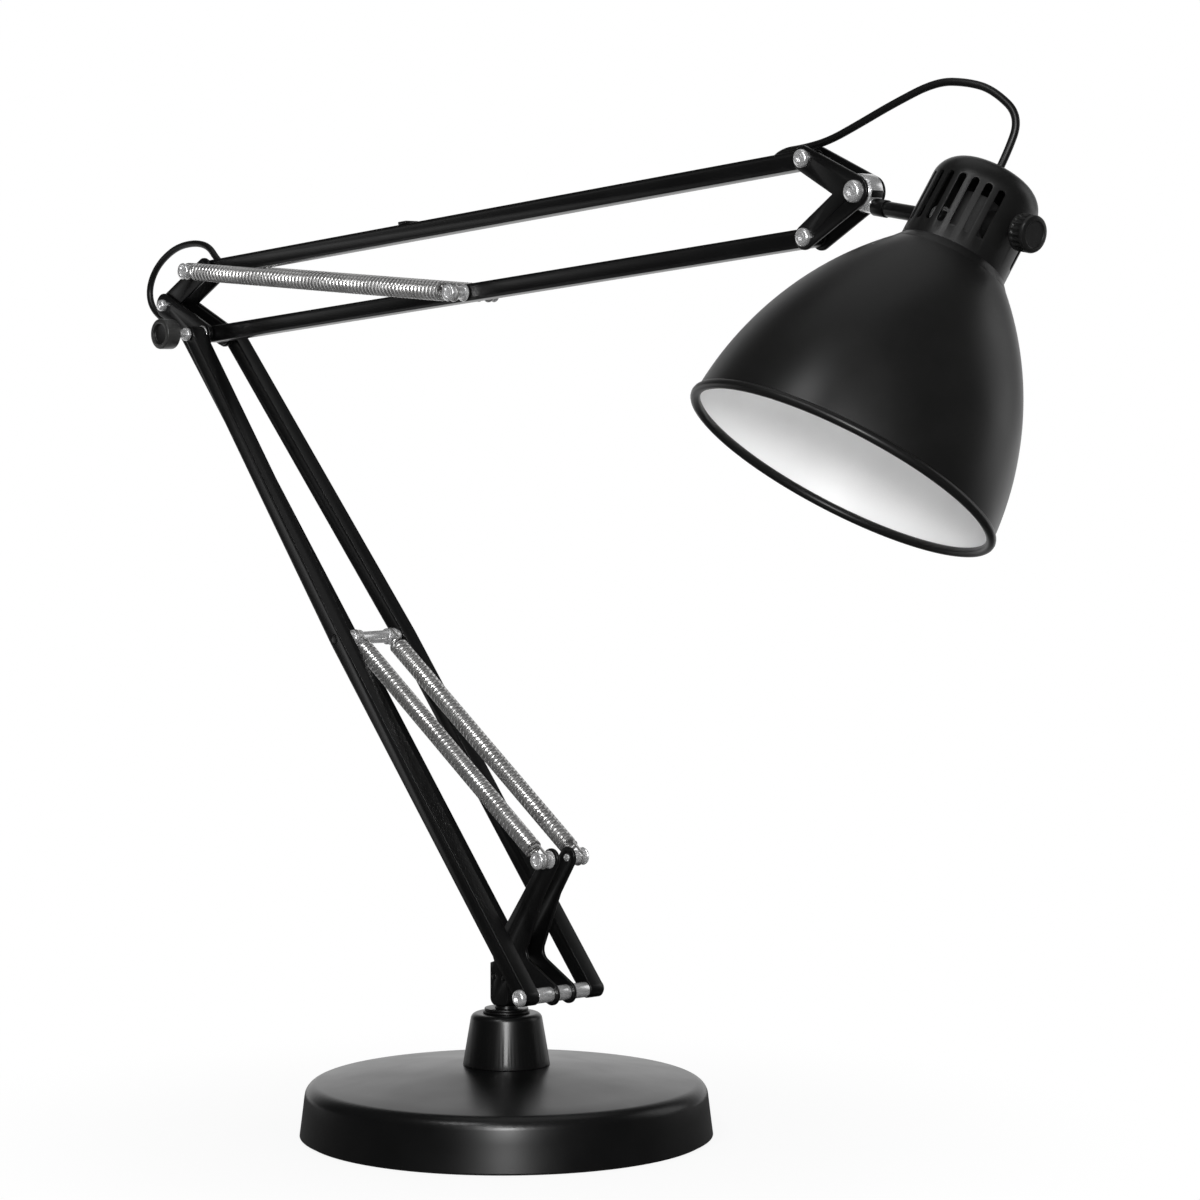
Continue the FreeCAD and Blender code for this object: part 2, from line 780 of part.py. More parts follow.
collar_in = "spring_offset - 1.6"
collar_out = "spring_offset + 1.6"
sleeve_steps = [
    ("sleeve_radius", f"0 - ({collar_out}) - collar_width"),
    ("collar_radius", f"0 - ({collar_out})"),
    ("sleeve_radius", f"0 - ({collar_in})"),
    ("collar_radius", f"0 - ({collar_in}) + collar_width"),
    ("sleeve_radius", f"{collar_in} - collar_width"),
    ("collar_radius", collar_in),
    ("sleeve_radius", collar_out),
    ("collar_radius", f"{collar_out} + collar_width"),
    ("sleeve_radius", "axle_in - splay_gap"),
]
points = stepped("splay_gap - axle_in", sleeve_steps)
points[0] = ("axle_radius", "splay_gap - axle_in")
points[-1] = ("axle_radius", "axle_in - splay_gap")
node(across("cross_sleeve", "bend_x", "bend_z", points), "cross_sleeve")

elbow_bolt = across("elbow_bolt", "elbow_x", "elbow_z", stepped("0 - knob_near - knob_height / 2", [
    ("axle_radius", "elbow_out + elbow_nut_height + splay_gap"),
]))
node(elbow_bolt, "elbow_bolt")
group("elbow_nuts", [
    across("elbow_nut_near", "elbow_x", "elbow_z", ring_points(
        "axle_radius", "elbow_nut", "0 - elbow_out - splay_gap - elbow_nut_height",
        "0 - elbow_out - splay_gap")),
    across("elbow_nut_far", "elbow_x", "elbow_z", ring_points(
        "axle_radius", "elbow_nut", "elbow_out + splay_gap", "elbow_out + splay_gap + elbow_nut_height")),
])

knob = across("clamp_knob", "elbow_x", "elbow_z", [
    ("0", "knob_recess_depth - knob_near - knob_height"),
    ("knob_recess", "knob_recess_depth - knob_near - knob_height"),
    ("knob_recess", "0 - knob_near - knob_height"),
    ("knob_radius", "0 - knob_near - knob_height"),
    ("knob_radius", "0 - knob_near"),
    ("axle_radius + fit", "0 - knob_near"),
    ("axle_radius + fit", "0 - knob_near - knob_height / 2 - 0.3"),
    ("0", "0 - knob_near - knob_height / 2 - 0.3"),
])
node(knob, "clamp_knob")

bar("link_bar", "lower_length", "link_width", "link_half", [
    ("0", "pin_radius + fit"),
    ("lower_length", "pin_radius + fit"),
], "link_x", "0", "link_z", "arm_lean")

# Elbow: side plates, outer strips, bolts and spools.
for side, sign in (("near", "-1"), ("far", "1")):
    plate = new_body("elbow_plate_" + side)
    leg(plate, "low_angle", "low_leg", "elbow_leg_half", "elbow_leg_half", "plate_thickness")
    leg(plate, "high_angle", "high_leg", "elbow_leg_half", "elbow_leg_half", "plate_thickness")
    holes(plate, [
        ("0", "0", "pin_radius"),
        ("link_back", "0 - link_lift", "axle_radius + fit"),
        ("crest_dx", "crest_dz", "pin_radius"),
        ("link_back - spool_back", "spool_rise - link_lift", "pin_radius"),
    ])
    place(plate, "rear_x", sign + " * plate_mid", "rear_z")
    node(plate, "elbow_plate_" + side)
    strip = new_body("elbow_strip_" + side)
    leg(strip, "low_angle", "low_leg", "strip_half", "strip_half", "strip_thickness")
    holes(strip, [
        ("0", "0", "pin_radius"),
        ("link_back", "0 - link_lift", "axle_radius + fit"),
    ])
    place(strip, "rear_x", sign + " * strip_mid", "rear_z")
    node(strip, "elbow_strip_" + side)

group("elbow_washers", [
    across("elbow_washer_near", "elbow_x", "elbow_z", ring_points(
        "axle_radius", "elbow_nut + 1.4", "splay_gap - elbow_in", "0 - strip_out - side_gap / 2")),
    across("elbow_washer_far", "elbow_x", "elbow_z", ring_points(
        "axle_radius", "elbow_nut + 1.4", "strip_out + side_gap / 2", "elbow_in - splay_gap")),
])

rear = across("rear_bolt", "rear_x", "rear_z", stepped("0 - strip_out - rear_head_height", [
    ("rear_head", "0 - strip_out"),
    ("pin_radius", "strip_out"),
    ("rear_head", "strip_out + rear_head_height"),
]))
node(rear, "rear_bolt")
crest = across("crest_pin", "crest_x", "crest_z", stepped("0 - plate_out", [("pin_radius", "plate_out")]))
node(crest, "crest_pin")
spool_pair("upper_spring_spools", "hook_x", "hook_z", "plate_in", "plate_out")

# Upper arm: two parallel bars, spring anchors, the lead and its clip.
bar("upper_bar_lower", "upper_length", "bar_width", "bar_half", [
    ("0", "axle_radius + fit"),
    ("anchor_distance", "pin_radius"),
    ("upper_length", "pin_radius + fit"),
], "elbow_x", "0", "elbow_z", "upper_rise")
spool_pair("anchor_spools", "anchor_x", "anchor_z", "channel_half", "bar_width / 2")

bar("upper_bar_upper", "upper_length", "bar_width", "bar_half", [
    ("0", "pin_radius + fit"),
    ("upper_length", "pin_radius + fit"),
], "crest_x", "0", "crest_z", "upper_rise")

clip = doc.addObject("Part::Box", "LeadClip")
bind(clip, "Length", "lead_clip_length")
bind(clip, "Width", "bar_width")
bind(clip, "Height", "lead_clip_height")
place(clip, "crest_x + clip_distance * cos(upper_rise) - bar_half * sin(upper_rise)", "0 - bar_width / 2",
      "crest_z + clip_distance * sin(upper_rise) + bar_half * cos(upper_rise)", [("y", "0 - upper_rise")])
node(clip, "lead_clip")

# Head: side plates, pins, knuckle and stem.
for side, sign in (("near", "-1"), ("far", "1")):
    plate = new_body("head_plate_" + side)
    leg(plate, "fore_angle", "fore_leg", "apex_half", "head_leg_half", "plate_thickness")
    leg(plate, "brow_angle", "brow_leg", "apex_half", "head_leg_half", "plate_thickness")
    holes(plate, [
        ("0", "0", "axle_radius"),
        ("0 - apex_forward", "0 - apex_rise", "pin_radius"),
        ("0 - brow_dx", "brow_dz", "pin_radius"),
    ])
    place(plate, "apex_x", sign + " * plate_mid", "apex_z")
    node(plate, "head_plate_" + side)

pins = []
for word in ("fore", "brow"):
    pins.append(across("head_pin_" + word, word + "_x", word + "_z", stepped(
        "0 - plate_out - head_nut_height", [
            ("head_nut", "0 - plate_out"),
            ("pin_radius", "plate_out"),
            ("head_nut", "plate_out + head_nut_height"),
        ])))
group("head_pins", pins)

apex_bolt = across("apex_bolt", "apex_x", "apex_z", stepped("0 - plate_out - apex_nut_height", [
    ("apex_nut_radius", "0 - plate_out"),
    ("axle_radius", "plate_out"),
    ("apex_nut_radius", "plate_out + apex_nut_height"),
]))
node(apex_bolt, "apex_bolt")

group("knuckle_washers", [
    across("knuckle_washer_near", "apex_x", "apex_z", ring_points(
        "axle_radius + fit", "knuckle_radius - 1", "0 - plate_in", "0 - knuckle_half - side_gap / 3")),
    across("knuckle_washer_far", "apex_x", "apex_z", ring_points(
        "axle_radius + fit", "knuckle_radius - 1", "knuckle_half + side_gap / 3", "plate_in")),
])

knuckle = new_body("knuckle")
sketch = new_sketch(knuckle)
circle(sketch, "0", "0", "knuckle_radius")
pad(knuckle, sketch, "2 * knuckle_half")
sketch = new_sketch(knuckle, "YZ_Plane")
circle(sketch, "0", "0 - stem_drop", "knuckle_half - 0.4")
pad_on(knuckle, sketch, "knuckle_reach - socket_length")
sketch = new_sketch(knuckle, "YZ_Plane", shift="knuckle_reach - socket_length")
circle(sketch, "0", "0 - stem_drop", "knuckle_socket")
pad_on(knuckle, sketch, "socket_length")
sketch = new_sketch(knuckle, "YZ_Plane", shift="knuckle_reach")
circle(sketch, "0", "0 - stem_drop", "stem_radius")
pocket_to(knuckle, sketch, "socket_length - 0.8")
holes(knuckle, [("0", "0", "axle_radius + fit")])
place(knuckle, "apex_x", "0", "apex_z", [("y", "head_tilt")])
node(knuckle, "knuckle")


def on_stem(item):
    """Turned about the stem axis; heights run forward from the head centre."""
    place(item, "head_x", "0", "head_z", [("y", "head_tilt"), ("y", "90")])


stem = turned_body("stem", stepped("knuckle_reach - socket_length + 0.8 - stem_reach", [
    ("stem_radius", "stem_inside - cap_radius"),
]))
on_stem(stem)
node(stem, "stem")
stem_nut = turned_body("stem_nut", ring_points(
    "stem_radius", "stem_nut_radius", "4 - cap_inner", "4 - cap_inner + stem_nut_height"))
on_stem(stem_nut)
node(stem_nut, "stem_nut")


def on_head(item, *more):
    """Standing on the shade axis, tilted with the stem and rolled about it."""
    place(item, "head_x", "0", "head_z", [("y", "head_tilt"), ("x", "0 - head_roll")] + list(more))


# Cap with vents, boss for the stem and hole for the switch.
cap = turned_body("cap", [
    ("grommet_hole", "cap_top"),
    ("cap_radius", "cap_top"),
    ("cap_radius", "0 - cap_flare_drop"),
    ("shade_top_radius", "0 - shade_top_drop"),
    ("shade_top_radius - cap_wall", "0 - shade_top_drop"),
    ("cap_inner", "0 - cap_flare_drop"),
    ("cap_inner", "cap_top - cap_wall"),
    ("grommet_hole", "cap_top - cap_wall"),
])
round_edges(cap, circle_edges(cap, number("cap_radius"), number("cap_top")), "cap_round")
round_edges(cap, circle_edges(cap, number("cap_inner"), number("cap_top - cap_wall")), "cap_round - cap_wall")
sketch = new_sketch(cap, "YZ_Plane", shift="0 - cap_radius - boss_length")
circle(sketch, "0", "0", "boss_radius")
pad_on(cap, sketch, "boss_length + 1.2")
sketch = new_sketch(cap, "YZ_Plane", shift="0 - cap_radius - boss_length - 1")
circle(sketch, "0", "0", "stem_radius + fit")
pocket_to(cap, sketch, "cap_radius", True)
sketch = new_sketch(cap, "YZ_Plane", shift="cap_radius + 1")
circle(sketch, "0", "0", "switch_shaft + 0.4")
pocket_to(cap, sketch, "8")
sketch = new_sketch(cap, turn="0 - (vent_count - 1) * vent_step / 2", axis=(0, 1, 0))
slot(sketch, "vent_half - vent_low", "vent_high - vent_half", "vent_half", "vent_half", True)
vent = pocket(cap, sketch)
doc.recompute()
pattern = cap.newObject("PartDesign::PolarPattern", "CapVents")
pattern.Originals = [vent]
upright = [o for o in cap.Origin.OriginFeatures if o.Role == "Z_Axis"][0]
pattern.Axis = (upright, [""])
bind(pattern, "Angle", "(vent_count - 1) * vent_step")
bind(pattern, "Occurrences", "vent_count")
cap.Tip = pattern
on_head(cap)
node(cap, "cap")

shade = turned_body("shade", [
    ("rim_radius", "0 - rim_drop"),
    ("shade_top_radius", "0 - shade_top_drop"),
    ("shade_hole", "0 - shade_top_drop"),
    ("shade_hole", "0 - shade_top_drop - shade_wall"),
    ("shade_top_radius - shade_wall * 0.55", "0 - shade_top_drop - shade_wall"),
    ("rim_radius - shade_wall", "0 - rim_drop"),
], {0: ("shade_curve_radius", -1), 4: ("shade_curve_radius - shade_wall", 1)})
sketch = new_sketch(shade)
circle(sketch, "rim_radius - shade_wall / 2", "0 - rim_drop", "rim_bead")
revolve(shade, sketch)
on_head(shade)
node(shade, "shade")

holder = turned_body("lampholder", [
    ("0", "holder_rise"),
    ("holder_neck", "holder_rise"),
    ("holder_neck", "0 - holder_top"),
    ("holder_radius", "0 - holder_top"),
    ("holder_radius", "0 - holder_drop"),
    ("holder_bore", "0 - holder_drop"),
    ("holder_bore", "0 - holder_top - 8"),
    ("0", "0 - holder_top - 8"),
])
on_head(holder)
node(holder, "lampholder")
holder_ring = turned_body("holder_ring", ring_points(
    "holder_radius", "ring_radius", "0 - shade_top_drop - shade_wall - ring_height",
    "0 - shade_top_drop - shade_wall"))
on_head(holder_ring)
node(holder_ring, "holder_ring")

grommet = turned_body("lead_grommet", [
    ("cord_radius", "cap_top - cap_wall - 1"),
    ("grommet_hole", "cap_top - cap_wall - 1"),
    ("grommet_hole", "cap_top"),
    ("grommet_radius", "cap_top"),
    ("grommet_radius - 0.6", "cap_top + grommet_height"),
    ("cord_radius", "cap_top + grommet_height"),
])
on_head(grommet)
node(grommet, "lead_grommet")

switch = turned_body("switch_body", stepped("cap_inner - 1.2 - switch_length", [
    ("switch_radius", "cap_inner - 1.2"),
    ("switch_shaft", "cap_radius + 8"),
]))
on_head(switch, ("y", "90"))
node(switch, "switch_body")
switch_knob = turned_body("switch_knob", [
    ("switch_shaft + fit", "cap_radius + switch_gap"),
    ("switch_knob_radius", "cap_radius + switch_gap"),
    ("switch_knob_radius", "cap_radius + switch_knob_length - 1"),
    ("switch_knob_radius - 1", "cap_radius + switch_knob_length"),
    ("0", "cap_radius + switch_knob_length"),
    ("0", "cap_radius + 8.4"),
    ("switch_shaft + fit", "cap_radius + 8.4"),
])
on_head(switch_knob, ("y", "90"))
node(switch_knob, "switch_knob")
doc.recompute()

# Springs: one wire each, straight at both ends, coiled between.


def biarc(p0, t0, p1, t1):
    """Two arcs that leave p0 along t0 and reach p1 along t1."""
    v = p1 - p0
    both = t0 + t1
    flat = 2 * (1 - t0.dot(t1))
    reach = (math.sqrt(v.dot(both) ** 2 + flat * v.dot(v)) - v.dot(both)) / flat
    q1 = p0 + t0 * reach
    q2 = p1 - t1 * reach
    joint = (q1 + q2) / 2
    made = []
    for a, q, b in ((p0, q1, joint), (joint, q2, p1)):
        middle = (a + b) / 2
        rise = q - middle
        half = (b - a).Length / 2
        angle = math.atan2(rise.Length, half)
        top = middle + rise / rise.Length * (half * math.tan(angle / 2))
        made.append(Part.ArcOfCircle(a, top, b))
    return made


def spring(label, start, end, offset, start_radius, end_radius, turns):
    wire = number("wire_radius")
    radius = number("spring_radius")
    lead_in = number("spring_lead_in")
    a = FreeCAD.Vector(number(start[0]), offset, number(start[1]))
    b = FreeCAD.Vector(number(end[0]), offset, number(end[1]))
    along = (b - a).normalize()
    side = FreeCAD.Vector(0, 1, 0)
    up = along.cross(side)
    p0 = a + along * (start_radius + 0.02)
    p1 = p0 + along * (2 * wire + 0.2)
    p3 = b - along * (end_radius + 0.02)
    p2 = p3 - along * (2 * wire + 0.2)
    first = p1 + along * lead_in
    last = p2 - along * lead_in
    span = (last - first).Length
    rise = span / turns
    climb = math.atan2(rise, 2 * math.pi * radius)

    def spot(turn):
        angle = 2 * math.pi * turn
        ring = up * math.cos(angle) + side * math.sin(angle)
        way = side * math.cos(angle) - up * math.sin(angle)
        tangent = way * math.cos(climb) + along * math.sin(climb)
        return first + along * (rise * turn) + ring * radius, tangent

    curves = [Part.LineSegment(p0, p1)]
    point, tangent = spot(0)
    curves += biarc(p1, along, point, tangent)
    for half_turn in range(2 * turns):
        before = spot(half_turn / 2)
        after = spot((half_turn + 1) / 2)
        curves += biarc(before[0], before[1], after[0], after[1])
    point, tangent = spot(turns)
    curves += biarc(point, tangent, p2, along)
    curves.append(Part.LineSegment(p2, p3))
    path = Part.Wire([curve.toShape() for curve in curves])
    tightest = min(c.Radius for c in curves if hasattr(c, "Radius"))
    ring = Part.Wire(Part.Circle(p0, along, wire).toShape())
    made = doc.addObject("Part::Feature", "Spring_" + label)
    made.Shape = path.makePipeShell([ring], True, False)
    places = path.discretize(Distance=0.5)
    least = 1e9
    step = path.Length / (len(places) - 1)
    skip = int(math.pi * radius / step)
    for i, p in enumerate(places):
        for q in places[i + skip:i + 8 * skip]:
            least = min(least, (p - q).Length)
    print(f"{label}: least gap to itself {least - 2 * wire:.2f} mm, tightest arc {tightest:.2f} mm")
    return node(made, label)


for side, sign in (("near", -1), ("far", 1)):
    offset = sign * number("spring_offset")
    spring("lower_spring_" + side, ("axle_x", "tip_z"), ("bend_x", "bend_z"), offset,
           number("spool_groove"), number("sleeve_radius"), int(number("lower_turns")))
    spring("upper_spring_" + side, ("hook_x", "hook_z"), ("anchor_x", "anchor_z"), offset,
           number("spool_groove"), number("spool_groove"), int(number("upper_turns")))


# Leads: straight runs joined by tangent arcs.


def lead(label, points):
    radius = number("cord_radius")
    curves = []
    at = points[0]
    radii = []
    for before, corner, after in zip(points, points[1:], points[2:]):
        back = (before - corner).normalize()
        ahead = (after - corner).normalize()
        half_turn = (math.pi - back.getAngle(ahead)) / 2
        cut = 0.45 * min((corner - before).Length, (after - corner).Length)
        bend = cut / math.tan(half_turn)
        radii.append(bend)
        a = corner + back * cut
        b = corner + ahead * cut
        inward = (back + ahead).normalize()
        middle = corner + inward * (bend / math.cos(half_turn) - bend)
        curves.append(Part.LineSegment(at, a))
        curves.append(Part.Arc(a, middle, b))
        at = b
    curves.append(Part.LineSegment(at, points[-1]))
    path = Part.Wire([curve.toShape() for curve in curves])
    start = (points[1] - points[0]).normalize()
    ring = Part.Wire(Part.Circle(points[0], start, radius).toShape())
    made = doc.addObject("Part::Feature", "Lead_" + label)
    made.Shape = path.makePipeShell([ring], True, False)
    print(f"{label}: length {path.Length:.0f} mm, bends", [round(r, 1) for r in radii])
    return node(made, label)


rest = doc.addObject("Part::Cylinder", "ArmLead")
bind(rest, "Radius", "cord_radius")
bind(rest, "Height", "upper_length - lead_dip - head_dip - 2 * lead_gap")
place(rest, "crest_x + (lead_dip + lead_gap) * cos(upper_rise)", "0",
      "crest_z + (lead_dip + lead_gap) * sin(upper_rise)",
      [("y", "90 - upper_rise")])
node(rest, "arm_lead")
doc.recompute()

crest_at = FreeCAD.Vector(number("crest_x"), 0, number("crest_z"))
rear_at = FreeCAD.Vector(number("rear_x"), 0, number("rear_z"))
brow_at = FreeCAD.Vector(number("brow_x"), 0, number("brow_z"))
rise_turn = FreeCAD.Rotation(FreeCAD.Vector(0, -1, 0), number("upper_rise"))


def on_bar(start, x, z):
    return start + rise_turn.multVec(FreeCAD.Vector(x, 0, z))


def off(x, y, z):
    """An offset in steps of the lead's route."""
    return FreeCAD.Vector(x, y, z) * step


step = number("lead_step")
dip = number("lead_dip")
head_dip = number("head_dip")
elbow_path = [
    on_bar(crest_at, dip, 0),
    on_bar(crest_at, 1.3 * step, 0.05 * step),
    crest_at + off(0.48, 0, 0.53),
    crest_at + off(-0.37, 0, 1.39),
    crest_at + off(-1.92, 0, 1.63),
    rear_at + off(-0.07, 0, 3.48),
    rear_at + off(-1.97, 0, 2.37),
    rear_at + off(-2.79, 0, 0.87),
    rear_at + off(-2.17, 0, -0.43),
    rear_at + off(-0.97, 0, -0.88),
]
lead("elbow_lead", elbow_path)

head_turn = FreeCAD.Rotation(FreeCAD.Vector(0, 1, 0), number("head_tilt"))
roll_turn = FreeCAD.Rotation(FreeCAD.Vector(1, 0, 0), -number("head_roll"))
head_spin = head_turn.multiply(roll_turn)
head_at = FreeCAD.Vector(number("head_x"), 0, number("head_z"))


def on_axis(height):
    return head_at + head_spin.multVec(FreeCAD.Vector(0, 0, height))


top = on_axis(number("cap_top - cap_wall - 0.1 * lead_step"))
mouth = on_axis(number("cap_top + grommet_height + 0.8 * lead_step"))
arch = brow_at + off(8.42, 1.3, 3.45)
crown_way = off(0.8595, 0.225, -0.0585)
rear_path = [
    on_bar(brow_at, -head_dip, 0),
    on_bar(brow_at, 0.7 * step - head_dip, 0.05 * step),
    on_bar(brow_at, 1.65 * step - head_dip, 0.64 * step),
    brow_at + off(-0.55, 0, 0.56),
    brow_at + off(1.2, 0.05, 0.86),
    brow_at + off(3, 0.25, 1.58),
    brow_at + off(5, 0.58, 2.48),
    arch - crown_way,
    arch,
]
lead("head_lead_rear", rear_path)
front_path = [
    arch,
    arch + crown_way,
    arch + off(2.14, 0.61, -0.48),
    arch + off(3.44, 1.15, -1.8),
    mouth,
    top,
]
lead("head_lead_front", front_path)
doc.recompute()

# Every sub-part is checked, then written.
problems = []
for item in doc.Objects:
    state = set(item.State)
    if state & {"Invalid", "Error"}:
        problems.append(f"{item.Label}: {sorted(state)}")
for item in NODES:
    if item.Shape.isNull() or not item.Shape.isValid():
        problems.append(f"{item.Label}: shape")
if problems:
    raise RuntimeError("; ".join(problems))
os.makedirs("parts", exist_ok=True)
for item in NODES:
    item.Shape.exportStep(os.path.join("parts", item.Label + ".step"))
print(f"{len(NODES)} nodes written")
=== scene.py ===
import json
from math import acos, cos, pi, radians, sin, sqrt

import bmesh
import bpy
from mathutils import Matrix, Vector


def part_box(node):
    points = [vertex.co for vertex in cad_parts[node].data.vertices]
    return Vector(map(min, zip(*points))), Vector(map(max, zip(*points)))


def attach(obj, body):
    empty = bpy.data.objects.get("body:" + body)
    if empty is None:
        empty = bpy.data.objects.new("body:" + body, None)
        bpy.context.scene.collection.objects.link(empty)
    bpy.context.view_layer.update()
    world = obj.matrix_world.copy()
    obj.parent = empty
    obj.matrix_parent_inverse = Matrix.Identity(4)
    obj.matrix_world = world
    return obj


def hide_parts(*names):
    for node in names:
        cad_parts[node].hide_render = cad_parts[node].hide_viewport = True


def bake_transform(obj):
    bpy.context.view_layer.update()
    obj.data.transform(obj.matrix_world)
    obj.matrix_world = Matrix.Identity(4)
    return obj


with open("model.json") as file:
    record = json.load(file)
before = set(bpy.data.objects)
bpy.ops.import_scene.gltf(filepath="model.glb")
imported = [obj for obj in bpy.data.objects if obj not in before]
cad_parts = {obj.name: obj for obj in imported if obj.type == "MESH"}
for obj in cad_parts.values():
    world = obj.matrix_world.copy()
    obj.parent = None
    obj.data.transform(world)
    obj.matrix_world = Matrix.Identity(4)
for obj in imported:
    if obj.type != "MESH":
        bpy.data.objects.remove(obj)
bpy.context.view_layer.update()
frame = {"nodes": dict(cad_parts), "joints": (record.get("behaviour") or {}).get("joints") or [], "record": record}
nodes = frame["nodes"]
joints = {j["name"]: j for j in frame["joints"]}
scene = bpy.context.scene


# Materials

NOISE_REACH = (0.3, 0.7)
PATCH_DETAIL = 4.0
GRAIN_DETAIL = 2.0
BUMP_STRENGTH = 0.25


def texture(tree, scale, detail):
    where = tree.nodes.new("ShaderNodeTexCoord")
    noise = tree.nodes.new("ShaderNodeTexNoise")
    noise.inputs["Scale"].default_value = scale
    noise.inputs["Detail"].default_value = detail
    tree.links.new(where.outputs["Object"], noise.inputs["Vector"])
    return noise.outputs[0]


def map_range(tree, value, reach, levels, kind="LINEAR"):
    """Turns a value within reach into one within levels."""
    node = tree.nodes.new("ShaderNodeMapRange")
    node.interpolation_type = kind
    for word, (low, high) in (("From", reach), ("To", levels)):
        node.inputs[word + " Min"].default_value = low
        node.inputs[word + " Max"].default_value = high
    tree.links.new(value, node.inputs["Value"])
    return node.outputs["Result"]


def surface(name, dark, light, rough, grain, depth, metal=0.0, level=0.5, patch=30.0):
    """Colour and roughness drift with a broad noise, and a fine one gives the grain of the surface."""
    mat = bpy.data.materials.new(name)
    mat.use_nodes = True
    tree = mat.node_tree
    bsdf = tree.nodes["Principled BSDF"]
    bsdf.inputs["Metallic"].default_value = metal
    bsdf.inputs["Specular IOR Level"].default_value = level
    broad = texture(tree, patch, PATCH_DETAIL)
    ramp = tree.nodes.new("ShaderNodeValToRGB")
    for stop, position, colour in zip(ramp.color_ramp.elements, NOISE_REACH, (dark, light)):
        stop.position = position
        stop.color = (*colour, 1)
    tree.links.new(broad, ramp.inputs["Fac"])
    tree.links.new(ramp.outputs["Color"], bsdf.inputs["Base Color"])
    tree.links.new(map_range(tree, broad, NOISE_REACH, rough), bsdf.inputs["Roughness"])
    bump = tree.nodes.new("ShaderNodeBump")
    bump.inputs["Strength"].default_value = BUMP_STRENGTH
    bump.inputs["Distance"].default_value = depth
    tree.links.new(texture(tree, grain, GRAIN_DETAIL), bump.inputs["Height"])
    tree.links.new(bump.outputs["Normal"], bsdf.inputs["Normal"])
    return mat


BLACK = surface(
    "black_paint", dark=(0.0015, 0.0015, 0.0016), light=(0.0024, 0.0024, 0.0025), rough=(0.29, 0.34),
    grain=900, depth=0.00002, level=0.42)
SHADE = surface(
    "shade_paint", dark=(0.0042, 0.0042, 0.0042), light=(0.0058, 0.0058, 0.0057), rough=(0.34, 0.40),
    grain=900, depth=0.00003, level=0.32)
ENAMEL = surface(
    "white_enamel", dark=(0.84, 0.84, 0.84), light=(0.88, 0.88, 0.88), rough=(0.34, 0.44),
    grain=700, depth=0.00010, level=0.4)
STEEL = surface(
    "zinc", dark=(0.74, 0.74, 0.745), light=(0.82, 0.82, 0.825), rough=(0.22, 0.28),
    grain=1500, depth=0.000005, metal=0.78, patch=120)
WIRE = surface(
    "spring_wire", dark=(0.64, 0.635, 0.63), light=(0.72, 0.715, 0.71), rough=(0.26, 0.31),
    grain=1800, depth=0.000002, metal=0.93, patch=90)
IRON = surface(
    "iron", dark=(0.06, 0.06, 0.06), light=(0.10, 0.10, 0.10), rough=(0.55, 0.75),
    grain=400, depth=0.0005, metal=0.6)
RUBBER = surface(
    "rubber", dark=(0.012, 0.012, 0.012), light=(0.020, 0.020, 0.020), rough=(0.75, 0.9),
    grain=1200, depth=0.0003, level=0.3)
PLASTIC = surface(
    "black_plastic", dark=(0.004, 0.004, 0.004), light=(0.007, 0.007, 0.007), rough=(0.34, 0.46),
    grain=1500, depth=0.0001, level=0.35)
HOLDER = surface(
    "holder_plastic", dark=(0.010, 0.010, 0.010), light=(0.016, 0.016, 0.016), rough=(0.40, 0.55),
    grain=1100, depth=0.0001)
CORD = surface(
    "cord", dark=(0.002, 0.002, 0.002), light=(0.004, 0.004, 0.004), rough=(0.38, 0.46),
    grain=1600, depth=0.00005, level=0.35)
KNOB_GREY = surface(
    "knob_grey", dark=(0.018, 0.018, 0.018), light=(0.028, 0.028, 0.027), rough=(0.30, 0.40),
    grain=1200, depth=0.0001)
SLOTS = {
    "black_paint": BLACK, "shade_paint": SHADE, "steel": STEEL, "spring_steel": WIRE, "iron": IRON,
    "pad_rubber": RUBBER, "black_plastic": PLASTIC, "holder_plastic": HOLDER, "cord": CORD,
}


# CAD nodes: finish, eased edges, smooth rounds

SMOOTH_ANGLE = radians(38)
FLAT_ANGLE = radians(0.6)
EDGE_ANGLE = radians(40)
WELD_GAP = 1e-6
EASE_STEPS = 3
PLAIN_EASE = 0.00035
SHEET_EASE = 0.0005
EASE = {
    "base_cover": 0.0, "shade": 0.0, "base_neck": 0.0005, "clamp_knob": 0.0009, "cap": 0.0003,
    "elbow_nuts": 0.0007, "lead_clip": 0.0003, "link_pin": 0.0006,
}
SHEET = [
    "lower_bar_near", "lower_bar_far", "upper_bar_lower", "upper_bar_upper", "post_plate_near",
    "post_plate_far", "head_plate_near", "head_plate_far", "elbow_plate_near", "elbow_plate_far",
    "elbow_strip_near",
]


def smoothing():
    """Nodes that shade a mesh smooth, apart from its sharp edges."""
    group = bpy.data.node_groups.new("smooth_rounds", "GeometryNodeTree")
    group.interface.new_socket("Geometry", in_out="INPUT", socket_type="NodeSocketGeometry")
    group.interface.new_socket("Geometry", in_out="OUTPUT", socket_type="NodeSocketGeometry")
    first = group.nodes.new("NodeGroupInput")
    last = group.nodes.new("NodeGroupOutput")
    angle = group.nodes.new("GeometryNodeInputMeshEdgeAngle")
    gentle = group.nodes.new("FunctionNodeCompare")
    gentle.operation = "LESS_THAN"
    gentle.inputs["B"].default_value = SMOOTH_ANGLE
    faces = group.nodes.new("GeometryNodeSetShadeSmooth")
    edges = group.nodes.new("GeometryNodeSetShadeSmooth")
    edges.domain = "EDGE"
    group.links.new(angle.outputs["Unsigned Angle"], gentle.inputs["A"])
    group.links.new(first.outputs[0], faces.inputs["Geometry"])
    group.links.new(faces.outputs[0], edges.inputs["Geometry"])
    group.links.new(gentle.outputs[0], edges.inputs["Shade Smooth"])
    group.links.new(edges.outputs[0], last.inputs[0])
    return group


ROUNDS = smoothing()


